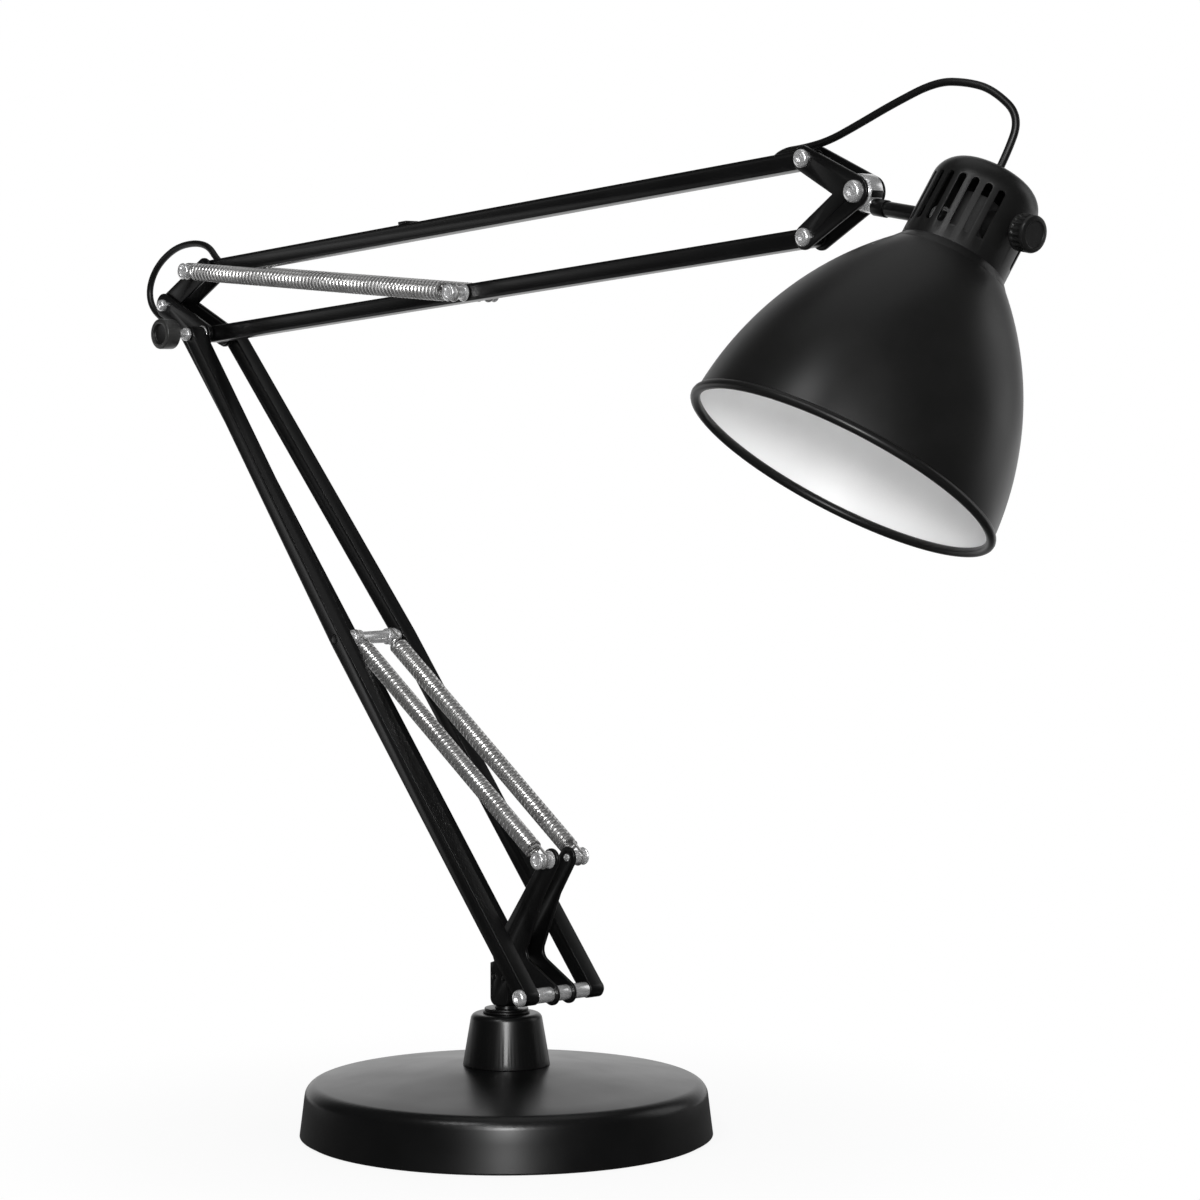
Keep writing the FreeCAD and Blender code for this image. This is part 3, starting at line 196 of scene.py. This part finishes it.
def dress(name, slot):
    obj = nodes[name]
    obj.data.materials.clear()
    obj.data.materials.append(SLOTS[slot])
    weld = obj.modifiers.new("join", "WELD")
    weld.merge_threshold = WELD_GAP
    width = SHEET_EASE if name in SHEET else EASE.get(name, PLAIN_EASE)
    if width:
        flat = obj.modifiers.new("flats", "DECIMATE")
        flat.decimate_type = "DISSOLVE"
        flat.angle_limit = FLAT_ANGLE
        flat.delimit = {"MATERIAL"}
        ease = obj.modifiers.new("ease", "BEVEL")
        ease.width = width
        ease.segments = EASE_STEPS
        ease.limit_method = "ANGLE"
        ease.angle_limit = EDGE_ANGLE
        ease.use_clamp_overlap = name not in SHEET
    rounds = obj.modifiers.new("rounds", "NODES")
    rounds.node_group = ROUNDS


for entry in frame["record"]["subparts"]:
    dress(entry["node"], entry["material_slot"])


# Mesh building

SAME_POINT = 1e-7


def mesh_object(name, points, faces, mats, paint=None):
    mesh = bpy.data.meshes.new(name)
    mesh.from_pydata([tuple(p) for p in points], [], faces)
    for mat in mats:
        mesh.materials.append(mat)
    if paint:
        mesh.polygons.foreach_set("material_index", paint)
    work = bmesh.new()
    work.from_mesh(mesh)
    bmesh.ops.remove_doubles(work, verts=work.verts, dist=SAME_POINT)
    bmesh.ops.recalc_face_normals(work, faces=work.faces)
    work.to_mesh(mesh)
    work.free()
    mesh.polygons.foreach_set("use_smooth", [True] * len(mesh.polygons))
    mesh.set_sharp_from_angle(angle=SMOOTH_ANGLE)
    mesh.update()
    obj = bpy.data.objects.new(name, mesh)
    scene.collection.objects.link(obj)
    return obj


def tube(path, radius, sides):
    """A round tube along a path, its rings turned with the path and both ends closed."""
    path = [Vector(p) for p in path]
    points, faces = [], []
    along = (path[1] - path[0]).normalized()
    out = along.orthogonal().normalized()
    for i, p in enumerate(path):
        ahead = path[min(i + 1, len(path) - 1)] - path[max(i - 1, 0)]
        out = along.rotation_difference(ahead.normalized()) @ out
        along = ahead.normalized()
        out = (out - along * out.dot(along)).normalized()
        side = along.cross(out)
        for k in range(sides):
            turn = 2 * pi * k / sides
            points.append(p + (out * cos(turn) + side * sin(turn)) * radius)
    for i in range(len(path) - 1):
        for k in range(sides):
            n = (k + 1) % sides
            faces.append((i * sides + k, i * sides + n, (i + 1) * sides + n, (i + 1) * sides + k))
    last = (len(path) - 1) * sides
    faces.append(tuple(reversed(range(sides))))
    faces.append(tuple(last + k for k in range(sides)))
    return points, faces


def lathe(profile, steps, place, closed=False, shape=None):
    """Turns (radius, height) points about local Z; shape may vary a row's radius with the angle."""
    points, faces = [], []
    for row, (radius, height) in enumerate(profile):
        for k in range(steps):
            turn = 2 * pi * k / steps
            out = shape(row, radius, turn) if shape else radius
            points.append(place @ Vector((out * cos(turn), out * sin(turn), height)))
    rows = len(profile)
    for row in range(rows if closed else rows - 1):
        after = (row + 1) % rows
        for k in range(steps):
            n = (k + 1) % steps
            faces.append((row * steps + k, row * steps + n, after * steps + n, after * steps + k))
    return points, faces


def joined(parts):
    points, faces = [], []
    for more_points, more_faces in parts:
        base = len(points)
        points += more_points
        faces += [tuple(base + i for i in face) for face in more_faces]
    return points, faces


def centre(node):
    low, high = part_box(node)
    return (low + high) / 2


def flat_point(node):
    at = centre(node)
    return Vector((at.x, 0, at.z))


def outer_face(node):
    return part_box(node)[1].y


# Points of the linkage, from the frame, and the attitude of the head and the upper bars

HEAD_TILT = radians(9)
HEAD_ROLL = radians(30)
BAR_RISE = radians(4.89)

axle = Vector(joints["lower_arm_tilt"]["pos_m"])
elbow = Vector(joints["elbow_turn"]["pos_m"])
crest = Vector(joints["upper_link_turn"]["pos_m"])
fore = Vector(joints["head_bracket_turn"]["pos_m"])
brow = fore + crest - elbow
brow.y = 0
rear = flat_point("rear_bolt")
apex = Vector(joints["head_tilt"]["pos_m"])
head = Vector(joints["head_roll"]["pos_m"])
stem = Vector(joints["head_roll"]["axis"])
head_turn = Matrix.Rotation(HEAD_TILT, 4, "Y") @ Matrix.Rotation(-HEAD_ROLL, 4, "X")
head_place = Matrix.Translation(head) @ head_turn
shade_up = head_turn.to_3x3() @ Vector((0, 0, 1))


# Second finishes: painted socket of the knuckle; the face inside the clamp knob's recess is made darker than the
# knob

SOCKET_FROM = 0.0088
RECESS = 0.0059

clamp = centre("clamp_knob")


def repaint(node, first, second, test):
    mesh = nodes[node].data
    mesh.materials.clear()
    for mat in (first, second):
        mesh.materials.append(mat)
    for face in mesh.polygons:
        face.material_index = int(test(face.center))


def in_socket(p):
    return (p - apex).dot(stem) > SOCKET_FROM


def in_recess(p):
    return p.y < clamp.y and Vector((p.x - clamp.x, p.z - clamp.z)).length < RECESS


repaint("knuckle", STEEL, BLACK, in_socket)
# The face inside the recess takes the darker black plastic
repaint("clamp_knob", KNOB_GREY, PLASTIC, in_recess)


# Springs: close coils with a hook over the spool at each end

WIRE_RADIUS = 0.00076
WIRE_SIDES = 8
COIL_RADIUS = 0.00454
COIL_STEPS = 14
PITCH = 0.00164
SPRING_OUT = 0.0127
LEAD_IN = 0.0022
HOOK = 0.0072
HOOK_START = radians(-45)
HOOK_END = radians(90)
HOOK_SWEEP = radians(225)
HOOK_STEPS = 14
GROOVE = 0.0036
WRAP = GROOVE + WIRE_RADIUS


def hook(at, first):
    """The wire round a spool that sits at that length, as (along, above, beside) the spring's axis."""
    turns = [first - HOOK_SWEEP * k / HOOK_STEPS for k in range(HOOK_STEPS + 1)]
    return [(at + WRAP * cos(turn), WRAP * sin(turn), 0) for turn in turns]


def coil(span):
    """The close turns, with a wider half turn at each end."""
    room = span - 2 * HOOK - 2 * LEAD_IN
    turns = int(room / PITCH)
    grow = room / turns
    half = COIL_STEPS // 2
    points = []
    for k in range(-half, turns * COIL_STEPS + half + 1):
        t = k / COIL_STEPS
        inside = min(max(t, 0), turns)
        along = HOOK + LEAD_IN + grow * inside + 2 * LEAD_IN * (t - inside)
        turn = 2 * pi * (t + 0.5)
        points.append((along, COIL_RADIUS * cos(turn), COIL_RADIUS * sin(turn)))
    return points


def spring(name, start, end, side):
    start, end = Vector(start), Vector(end)
    start.y = end.y = side * SPRING_OUT
    axis = (end - start).normalized()
    up = axis.cross(Vector((0, 1, 0)))
    if up.z < 0:
        up = -up
    across = Vector((0, side, 0))
    span = (end - start).length
    bridge = (WRAP + COIL_RADIUS) / 2
    flat = hook(0, HOOK_START)
    flat.append((HOOK / 2, bridge, 0))
    flat += coil(span)
    flat.append((span - HOOK / 2, bridge, 0))
    flat += hook(span, HOOK_END)
    path = [start + axis * u + up * v + across * w for u, v, w in flat]
    obj = mesh_object(name + "_coil", *tube(path, WIRE_RADIUS, WIRE_SIDES), [WIRE])
    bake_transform(obj)
    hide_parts(name)


lower_hook = centre("lower_spring_spools")
lower_end = centre("cross_sleeve")
upper_hook = centre("upper_spring_spools")
upper_end = centre("anchor_spools")
for side, word in ((-1, "near"), (1, "far")):
    spring("lower_spring_" + word, lower_hook, lower_end, side)
    spring("upper_spring_" + word, upper_hook, upper_end, side)


# Leads: one smooth line through the points of each route

CORD_DIAMETER = 0.004
CORD_SIDES = 14
LINE_ORDER = 3
LINE_STEPS = 16


def on_bar(start, x, z):
    return start + Vector((x * cos(BAR_RISE) - z * sin(BAR_RISE), 0, x * sin(BAR_RISE) + z * cos(BAR_RISE)))


def centreline(name, points):
    curve = bpy.data.curves.new(name, "CURVE")
    curve.dimensions = "3D"
    curve.resolution_u = LINE_STEPS
    line = curve.splines.new("NURBS")
    line.points.add(len(points) - 1)
    for point, co in zip(line.points, points):
        point.co = (*co, 1)
    line.order_u = LINE_ORDER
    line.use_endpoint_u = True
    obj = bpy.data.objects.new(name, curve)
    scene.collection.objects.link(obj)
    mesh = bpy.data.meshes.new_from_object(obj)
    path = [v.co.copy() for v in mesh.vertices]
    bpy.data.objects.remove(obj)
    bpy.data.curves.remove(curve)
    bpy.data.meshes.remove(mesh)
    return path


def lead(name, points):
    path = centreline(name + "_line", points)
    obj = mesh_object(name + "_run", *tube(path, CORD_DIAMETER / 2, CORD_SIDES), [CORD])
    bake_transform(obj)
    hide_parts(name)


arch = brow + Vector((0.0842, 0.013, 0.0345))
sweep = Vector((0.955, 0.25, -0.065))
lead("elbow_lead", [
    on_bar(crest, 0.026, 0),
    on_bar(crest, 0.013, 0.0005),
    crest + Vector((0.0048, 0, 0.0053)),
    crest + Vector((-0.0037, 0, 0.0139)),
    crest + Vector((-0.0192, 0, 0.0163)),
    rear + Vector((-0.0007, 0, 0.0348)),
    rear + Vector((-0.0197, 0, 0.0237)),
    rear + Vector((-0.0279, 0, 0.0087)),
    rear + Vector((-0.0217, 0, -0.0043)),
    rear + Vector((-0.0097, 0, -0.0088)),
])
lead("head_lead_rear", [
    on_bar(brow, -0.037, 0),
    on_bar(brow, -0.030, 0.0005),
    on_bar(brow, -0.0205, 0.0064),
    brow + Vector((-0.0055, 0, 0.0056)),
    brow + Vector((0.012, 0.0005, 0.0086)),
    brow + Vector((0.030, 0.0025, 0.0158)),
    brow + Vector((0.050, 0.0058, 0.0248)),
    arch - sweep * 0.009,
    arch,
])
lead("head_lead_front", [
    arch,
    arch + sweep * 0.009,
    arch + Vector((0.0214, 0.0061, -0.0048)),
    arch + Vector((0.0344, 0.0115, -0.018)),
    head + shade_up * 0.038,
    head + shade_up * 0.0248,
])


# Shade: black outside and bead, white inside

RIM = 0.0795
RIM_DROP = 0.1384
BEAD = 0.0024
BEAD_STEPS = 14
WALL = 0.0011
# The inside starts one wall lower, where the shade is wider already
TOP_INSET = 0.55 * WALL
CURVE = 0.172
CURVE_STEPS = 28
TOP = 0.0318
TOP_DROP = 0.026
HOLE = 0.0192
SHADE_STEPS = 128


def bow(a, b, radius):
    """Points of the outward arc of that radius from a to b."""
    a, b = Vector(a), Vector(b)
    half = (b - a) / 2
    out = Vector((-half.y, half.x)).normalized()
    if out.x < 0:
        out = -out
    middle = a + half - out * sqrt(radius ** 2 - half.length ** 2)
    first, final = a - middle, b - middle
    whole = acos(first.dot(final) / radius ** 2)
    rows = []
    for k in range(CURVE_STEPS + 1):
        t = k / CURVE_STEPS
        p = middle + (first * sin((1 - t) * whole) + final * sin(t * whole)) / sin(whole)
        rows.append((p.x, p.y))
    return rows


outside = bow((RIM, -RIM_DROP), (TOP, -TOP_DROP), CURVE)
inside = bow((RIM - WALL, -RIM_DROP), (TOP - TOP_INSET, -TOP_DROP - WALL), CURVE - WALL)
wall = outside + [(HOLE, -TOP_DROP), (HOLE, -TOP_DROP - WALL)] + inside[::-1]
bead_turns = [2 * pi * k / BEAD_STEPS for k in range(BEAD_STEPS)]
bead = [(RIM - WALL / 2 + BEAD * cos(turn), -RIM_DROP + BEAD * sin(turn)) for turn in bead_turns]
points, faces = joined([lathe(rows, SHADE_STEPS, head_place, closed=True) for rows in (wall, bead)])
first_white = SHADE_STEPS * (len(outside) + 1)
after_white = SHADE_STEPS * len(wall)
paint = [int(first_white <= i < after_white) for i in range(len(faces))]
shade = mesh_object("shade_shell", points, faces, [SHADE, ENAMEL], paint)
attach(shade, "shade")
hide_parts("shade")


# Switch knob with ridges round its side

KNOB = 0.00925
KNOB_NEAR, KNOB_FAR = 0.0324, 0.0418
KNOB_CHAMFER = 0.0006
KNOB_DISH = 0.0004
RIDGES = 20
RIDGE_STEPS = 8
RIDGE_DEPTH = 0.0008
RIDGE_SHARPNESS = 0.6
RIDGE_ROWS = (4, 5)
# Where the ridges rise and fall, above the knob's back and under its front
RIDGE_BACK = (0.0016, 0.0022)
RIDGE_FRONT = (0.0028, 0.0021)
# The rounded front edge and the shallow dish inside it, as (inset, depth)
KNOB_FRONT = [
    (0.0, 0.0015), (0.0004, 0.0005), (0.0013, 0.0), (0.0026, 0.0), (0.0031, KNOB_DISH), (KNOB, KNOB_DISH),
]


def ridged(row, r, turn):
    if row in RIDGE_ROWS:
        return r - RIDGE_DEPTH * (0.5 - 0.5 * cos(RIDGES * turn)) ** RIDGE_SHARPNESS
    return r


knob_place = head_place @ Matrix.Rotation(pi / 2, 4, "Y")
knob_rows = [(0.0, KNOB_NEAR), (KNOB - KNOB_CHAMFER, KNOB_NEAR), (KNOB, KNOB_NEAR + KNOB_CHAMFER)]
knob_rows += [(KNOB, KNOB_NEAR + rise) for rise in RIDGE_BACK]
knob_rows += [(KNOB, KNOB_FAR - drop) for drop in RIDGE_FRONT]
knob_rows += [(KNOB - inset, KNOB_FAR - drop) for inset, drop in KNOB_FRONT]
points, faces = lathe(knob_rows, RIDGES * RIDGE_STEPS, knob_place, shape=ridged)
knob = mesh_object("switch_knob_ridged", points, faces, [PLASTIC])
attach(knob, "switch")
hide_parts("switch_knob")


# Turned steel: pins with domed heads and six-sided sockets, and the spools of the springs

TURN_STEPS = 48
SOCKET_ROWS = (1, 2)
SOCKET_SIDE = pi / 3
SOCKET_DEPTH = 0.0014
SOCKET_EDGE = 0.0003
SOCKET_FLARE = 1.18
DOME_FLAT = 0.62
DOME_FOOT = 0.25
DOME_STEPS = 6
FLANGE = 0.0049
FLANGE_WIDTH = 0.0016
FLANGE_ROUND = 0.0002
FLANGE_DRAFT = 0.0003
FILLET_OUT, FILLET_IN = 0.0005, 0.0004
SPOOL_PIN = 0.0021
SPOOL_ROOT = 0.002
# The dished outer face of a spool, as (radius, depth)
SPOOL_FACE = [
    (0.0, 0.0012), (0.0026, 0.0012), (0.0030, 0.0003), (0.0036, 0.0), (0.0042, 0.0001),
    (FLANGE - FLANGE_ROUND, 0.0004), (FLANGE, 0.0009),
]
# The back of a spool's inner flange, as (inset, height over the plate)
SPOOL_BACK = [(0.0, 0.0008), (0.0003, 0.0003), (0.0008, 0.0)]
# The rounded end of a spool's pin, as (share of its radius, depth)
PIN_END = [(1.0, 0.0004), (0.8, 0.0008), (0.4, 0.001), (0.0, 0.00105)]


def turned(name, node, body, places, rows, socket_rows=()):
    """The rows run from the tip of a head to the middle of the lamp, and are used on both sides of it."""
    def sided(row, r, turn):
        if row in socket_rows:
            return r * cos(SOCKET_SIDE / 2) / cos(turn % SOCKET_SIDE - SOCKET_SIDE / 2)
        return r

    parts = []
    for at in places:
        for side in (-1, 1):
            face = Matrix.Translation(Vector((at.x, 0, at.z))) @ Matrix.Rotation(-side * pi / 2, 4, "X")
            parts.append(lathe(rows, TURN_STEPS, face, shape=sided))
    obj = mesh_object(name, *joined(parts), [STEEL])
    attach(obj, body)
    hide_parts(node)


def stud_rows(plate, radius, height, shaft, socket):
    """A domed head with a socket, on a shaft that runs to the middle of the lamp."""
    tip = plate + height
    deep = tip - SOCKET_DEPTH
    rows = [(0.0, deep), (socket, deep), (socket, tip - SOCKET_EDGE), (socket * SOCKET_FLARE, tip)]
    for k in range(1, DOME_STEPS + 1):
        turn = pi / 2 * (1 - k / DOME_STEPS)
        out = DOME_FLAT + (1 - DOME_FLAT) * cos(turn)
        up = DOME_FOOT + (1 - DOME_FOOT) * sin(turn)
        rows.append((radius * out, plate + height * up))
    return rows + [(radius, plate), (shaft, plate), (shaft, 0.0)]


def spool_rows(root, face, end):
    """Outer flange, groove for the hook, inner flange and the pin into the plate."""
    outer, inner = end - FLANGE_WIDTH, face + FLANGE_WIDTH
    rows = [(r, end - depth) for r, depth in SPOOL_FACE]
    rows += [
        (FLANGE - FLANGE_ROUND, outer + FLANGE_DRAFT),
        (GROOVE + FILLET_OUT, outer),
        (GROOVE, outer - FILLET_IN),
        (GROOVE, inner + FILLET_IN),
        (GROOVE + FILLET_OUT, inner),
        (FLANGE - FLANGE_ROUND, inner - FLANGE_DRAFT),
    ]
    rows += [(FLANGE - inset, face + rise) for inset, rise in SPOOL_BACK]
    rows.append((SPOOL_PIN, face))
    return rows + [(SPOOL_PIN * share, root - depth) for share, depth in PIN_END]


head_plate = outer_face("head_plate_far")
strip = outer_face("elbow_strip_far")
head_rows = stud_rows(head_plate, radius=0.0047, height=0.0026, shaft=0.0021, socket=0.0019)
apex_rows = stud_rows(head_plate, radius=0.00575, height=0.0036, shaft=0.0026, socket=0.0024)
rear_rows = stud_rows(strip, radius=0.0036, height=0.0032, shaft=0.0021, socket=0.0014)
turned("head_studs", "head_pins", "head_bracket", [fore, brow], head_rows, SOCKET_ROWS)
turned("apex_stud", "apex_bolt", "head_bracket", [apex], apex_rows, SOCKET_ROWS)
turned("rear_stud", "rear_bolt", "elbow", [rear], rear_rows, SOCKET_ROWS)
for node, body, plate in (
    ("lower_spring_spools", "post", "post_plate_far"),
    ("upper_spring_spools", "elbow", "elbow_plate_far"),
    ("anchor_spools", "upper_arm", "upper_bar_lower"),
):
    face = outer_face(plate)
    rows = spool_rows(face - SPOOL_ROOT, face, outer_face(node))
    turned(node + "_turned", node, body, [flat_point(node)], rows)


# Axle: bright domed head at the near bar, painted nut at the far one

AXLE_GAP = 0.0002
AXLE_SHAFT = 0.0026
AXLE_HEAD = 0.0047
AXLE_SOCKET = 0.0025
AXLE_NUT = 0.004
NUT_EDGE = 0.0004

low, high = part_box("axle_nuts")
near_face = AXLE_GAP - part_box("lower_bar_near")[0].y
far_face = outer_face("lower_bar_far")
near_rows = stud_rows(near_face, AXLE_HEAD, -low.y - near_face, AXLE_SHAFT, AXLE_SOCKET)
far_rows = [
    (0.0, high.y), (AXLE_NUT - NUT_EDGE, high.y), (AXLE_NUT, high.y - NUT_EDGE),
    (AXLE_NUT, far_face + AXLE_GAP), (AXLE_SHAFT, far_face), (AXLE_SHAFT, 0.0),
]
at = Matrix.Translation(Vector((axle.x, 0, axle.z)))
near_part = lathe(near_rows, TURN_STEPS, at @ Matrix.Rotation(pi / 2, 4, "X"))
far_part = lathe(far_rows, TURN_STEPS, at @ Matrix.Rotation(-pi / 2, 4, "X"))
paint = [0] * len(near_part[1]) + [1] * len(far_part[1])
ends = mesh_object("axle_ends", *joined([near_part, far_part]), [STEEL, BLACK], paint)
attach(ends, "post")
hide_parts("axle_nuts", "axle")


# Floor and room: the camera sees white, and reflections show a white backdrop in a darker room

WHITE = (1, 1, 1, 1)
BACKDROP = (-0.743, 0.669, 0.0)
FLOOR_COLOUR = (0.90, 0.90, 0.90, 1)
FLOOR_HALF = 14.0
# Distances towards the backdrop, and how bright the floor's reflections are there
MIRROR_REACH, MIRROR_LEVELS = (0.1, 0.9), (0.04, 1.0)
# Distances over which the shadow fades out, and the share of plain white there
SHADOW_REACH, WHITE_SHARE = (0.11, 0.38), (0.89, 1.0)
# Cosines of the angle to the backdrop, and how bright the room's reflections are there
ROOM_REACH, ROOM_LEVELS = (0.65, 1.0), (0.05, 1.0)
ROOM_LIGHT = 0.30


def graded(tree, place, reach, levels):
    """A value that rises with the place along the direction of the backdrop."""
    along = tree.nodes.new("ShaderNodeVectorMath")
    along.operation = "DOT_PRODUCT"
    along.inputs[1].default_value = BACKDROP
    tree.links.new(place, along.inputs[0])
    return map_range(tree, along.outputs["Value"], reach, levels, "SMOOTHSTEP")


def choose(tree, rays, test, yes, no):
    """The value yes where the ray is of that kind, else no."""
    mix = tree.nodes.new("ShaderNodeMix")
    tree.links.new(rays.outputs[test], mix.inputs[0])
    for socket, value in ((mix.inputs[2], no), (mix.inputs[3], yes)):
        if isinstance(value, float):
            socket.default_value = value
        else:
            tree.links.new(value, socket)
    return mix.outputs[0]


def combine(tree, operation, first, second):
    node = tree.nodes.new("ShaderNodeMath")
    node.operation = operation
    tree.links.new(first, node.inputs[0])
    tree.links.new(second, node.inputs[1])
    return node.outputs[0]


def floor_material():
    """Matt where it takes light and shadow, and glowing for the rays that see the background."""
    mat = bpy.data.materials.new("floor")
    mat.use_nodes = True
    tree = mat.node_tree
    tree.nodes.clear()
    out = tree.nodes.new("ShaderNodeOutputMaterial")
    where = tree.nodes.new("ShaderNodeTexCoord")
    rays = tree.nodes.new("ShaderNodeLightPath")
    matt = tree.nodes.new("ShaderNodeBsdfDiffuse")
    matt.inputs["Color"].default_value = FLOOR_COLOUR
    glow = tree.nodes.new("ShaderNodeEmission")
    glow.inputs["Color"].default_value = WHITE
    mirrored = graded(tree, where.outputs["Object"], MIRROR_REACH, MIRROR_LEVELS)
    tree.links.new(choose(tree, rays, "Is Glossy Ray", mirrored, 1.0), glow.inputs["Strength"])
    distance = tree.nodes.new("ShaderNodeVectorMath")
    distance.operation = "LENGTH"
    tree.links.new(where.outputs["Object"], distance.inputs[0])
    fade = map_range(tree, distance.outputs["Value"], SHADOW_REACH, WHITE_SHARE, "SMOOTHSTEP")
    seen = rays.outputs["Is Camera Ray"]
    for kind in ("Is Glossy Ray", "Is Transmission Ray"):
        seen = combine(tree, "MAXIMUM", seen, rays.outputs[kind])
    mix = tree.nodes.new("ShaderNodeMixShader")
    tree.links.new(combine(tree, "MULTIPLY", seen, fade), mix.inputs[0])
    tree.links.new(matt.outputs[0], mix.inputs[1])
    tree.links.new(glow.outputs[0], mix.inputs[2])
    tree.links.new(mix.outputs[0], out.inputs["Surface"])
    return mat


def studio():
    """A weak even light, with the backdrop for the rays that see it."""
    world = bpy.data.worlds.new("studio")
    world.use_nodes = True
    tree = world.node_tree
    tree.nodes.clear()
    out = tree.nodes.new("ShaderNodeOutputWorld")
    sky = tree.nodes.new("ShaderNodeBackground")
    sky.inputs["Color"].default_value = WHITE
    rays = tree.nodes.new("ShaderNodeLightPath")
    where = tree.nodes.new("ShaderNodeTexCoord")
    room = graded(tree, where.outputs["Generated"], ROOM_REACH, ROOM_LEVELS)
    strength = choose(tree, rays, "Is Glossy Ray", room, ROOM_LIGHT)
    for kind in ("Is Transmission Ray", "Is Camera Ray"):
        strength = choose(tree, rays, kind, 1.0, strength)
    tree.links.new(strength, sky.inputs["Strength"])
    tree.links.new(sky.outputs[0], out.inputs["Surface"])
    return world


corners = [(x * FLOOR_HALF, y * FLOOR_HALF, 0) for x, y in ((-1, -1), (1, -1), (1, 1), (-1, 1))]
floor = mesh_object("floor", corners, [(0, 1, 2, 3)], [floor_material()])
scene.world = studio()


# Lamps and camera

CAMERA_PLACE = (1.6348, -1.402, 0.414)
CAMERA_PITCH, CAMERA_YAW = radians(86.93), radians(48)
LENS = 117
SENSOR = 36


def softbox(name, place, target, size, power):
    data = bpy.data.lights.new(name, "AREA")
    data.shape = "RECTANGLE"
    data.size, data.size_y = size
    data.energy = power
    obj = bpy.data.objects.new(name, data)
    scene.collection.objects.link(obj)
    obj.location = place
    obj.rotation_euler = (Vector(target) - Vector(place)).to_track_quat("-Z", "Y").to_euler()


softbox("front", place=(1.95, -1.70, 0.78), target=(0, 0, 0.25), size=(0.42, 0.42), power=40)
softbox("key", place=(1.60, -1.75, 1.50), target=(0.2, 0, 0.40), size=(0.6, 0.5), power=12)
softbox("edge", place=(0.45, -1.50, 2.00), target=(0, 0, 0.25), size=(0.5, 0.5), power=9)
softbox("right", place=(0.9, 2.0, 1.0), target=(0.3, 0, 0.40), size=(1.0, 1.4), power=5)
softbox("top", place=(0.0, 0.3, 2.3), target=(0, 0, 0.3), size=(1.6, 1.6), power=4)

camera = bpy.data.objects.new("camera", bpy.data.cameras.new("camera"))
scene.collection.objects.link(camera)
camera.location = CAMERA_PLACE
camera.rotation_euler = (CAMERA_PITCH, 0, CAMERA_YAW)
camera.data.sensor_width = SENSOR
camera.data.lens = LENS
scene.camera = camera
scene.view_settings.view_transform = "Standard"
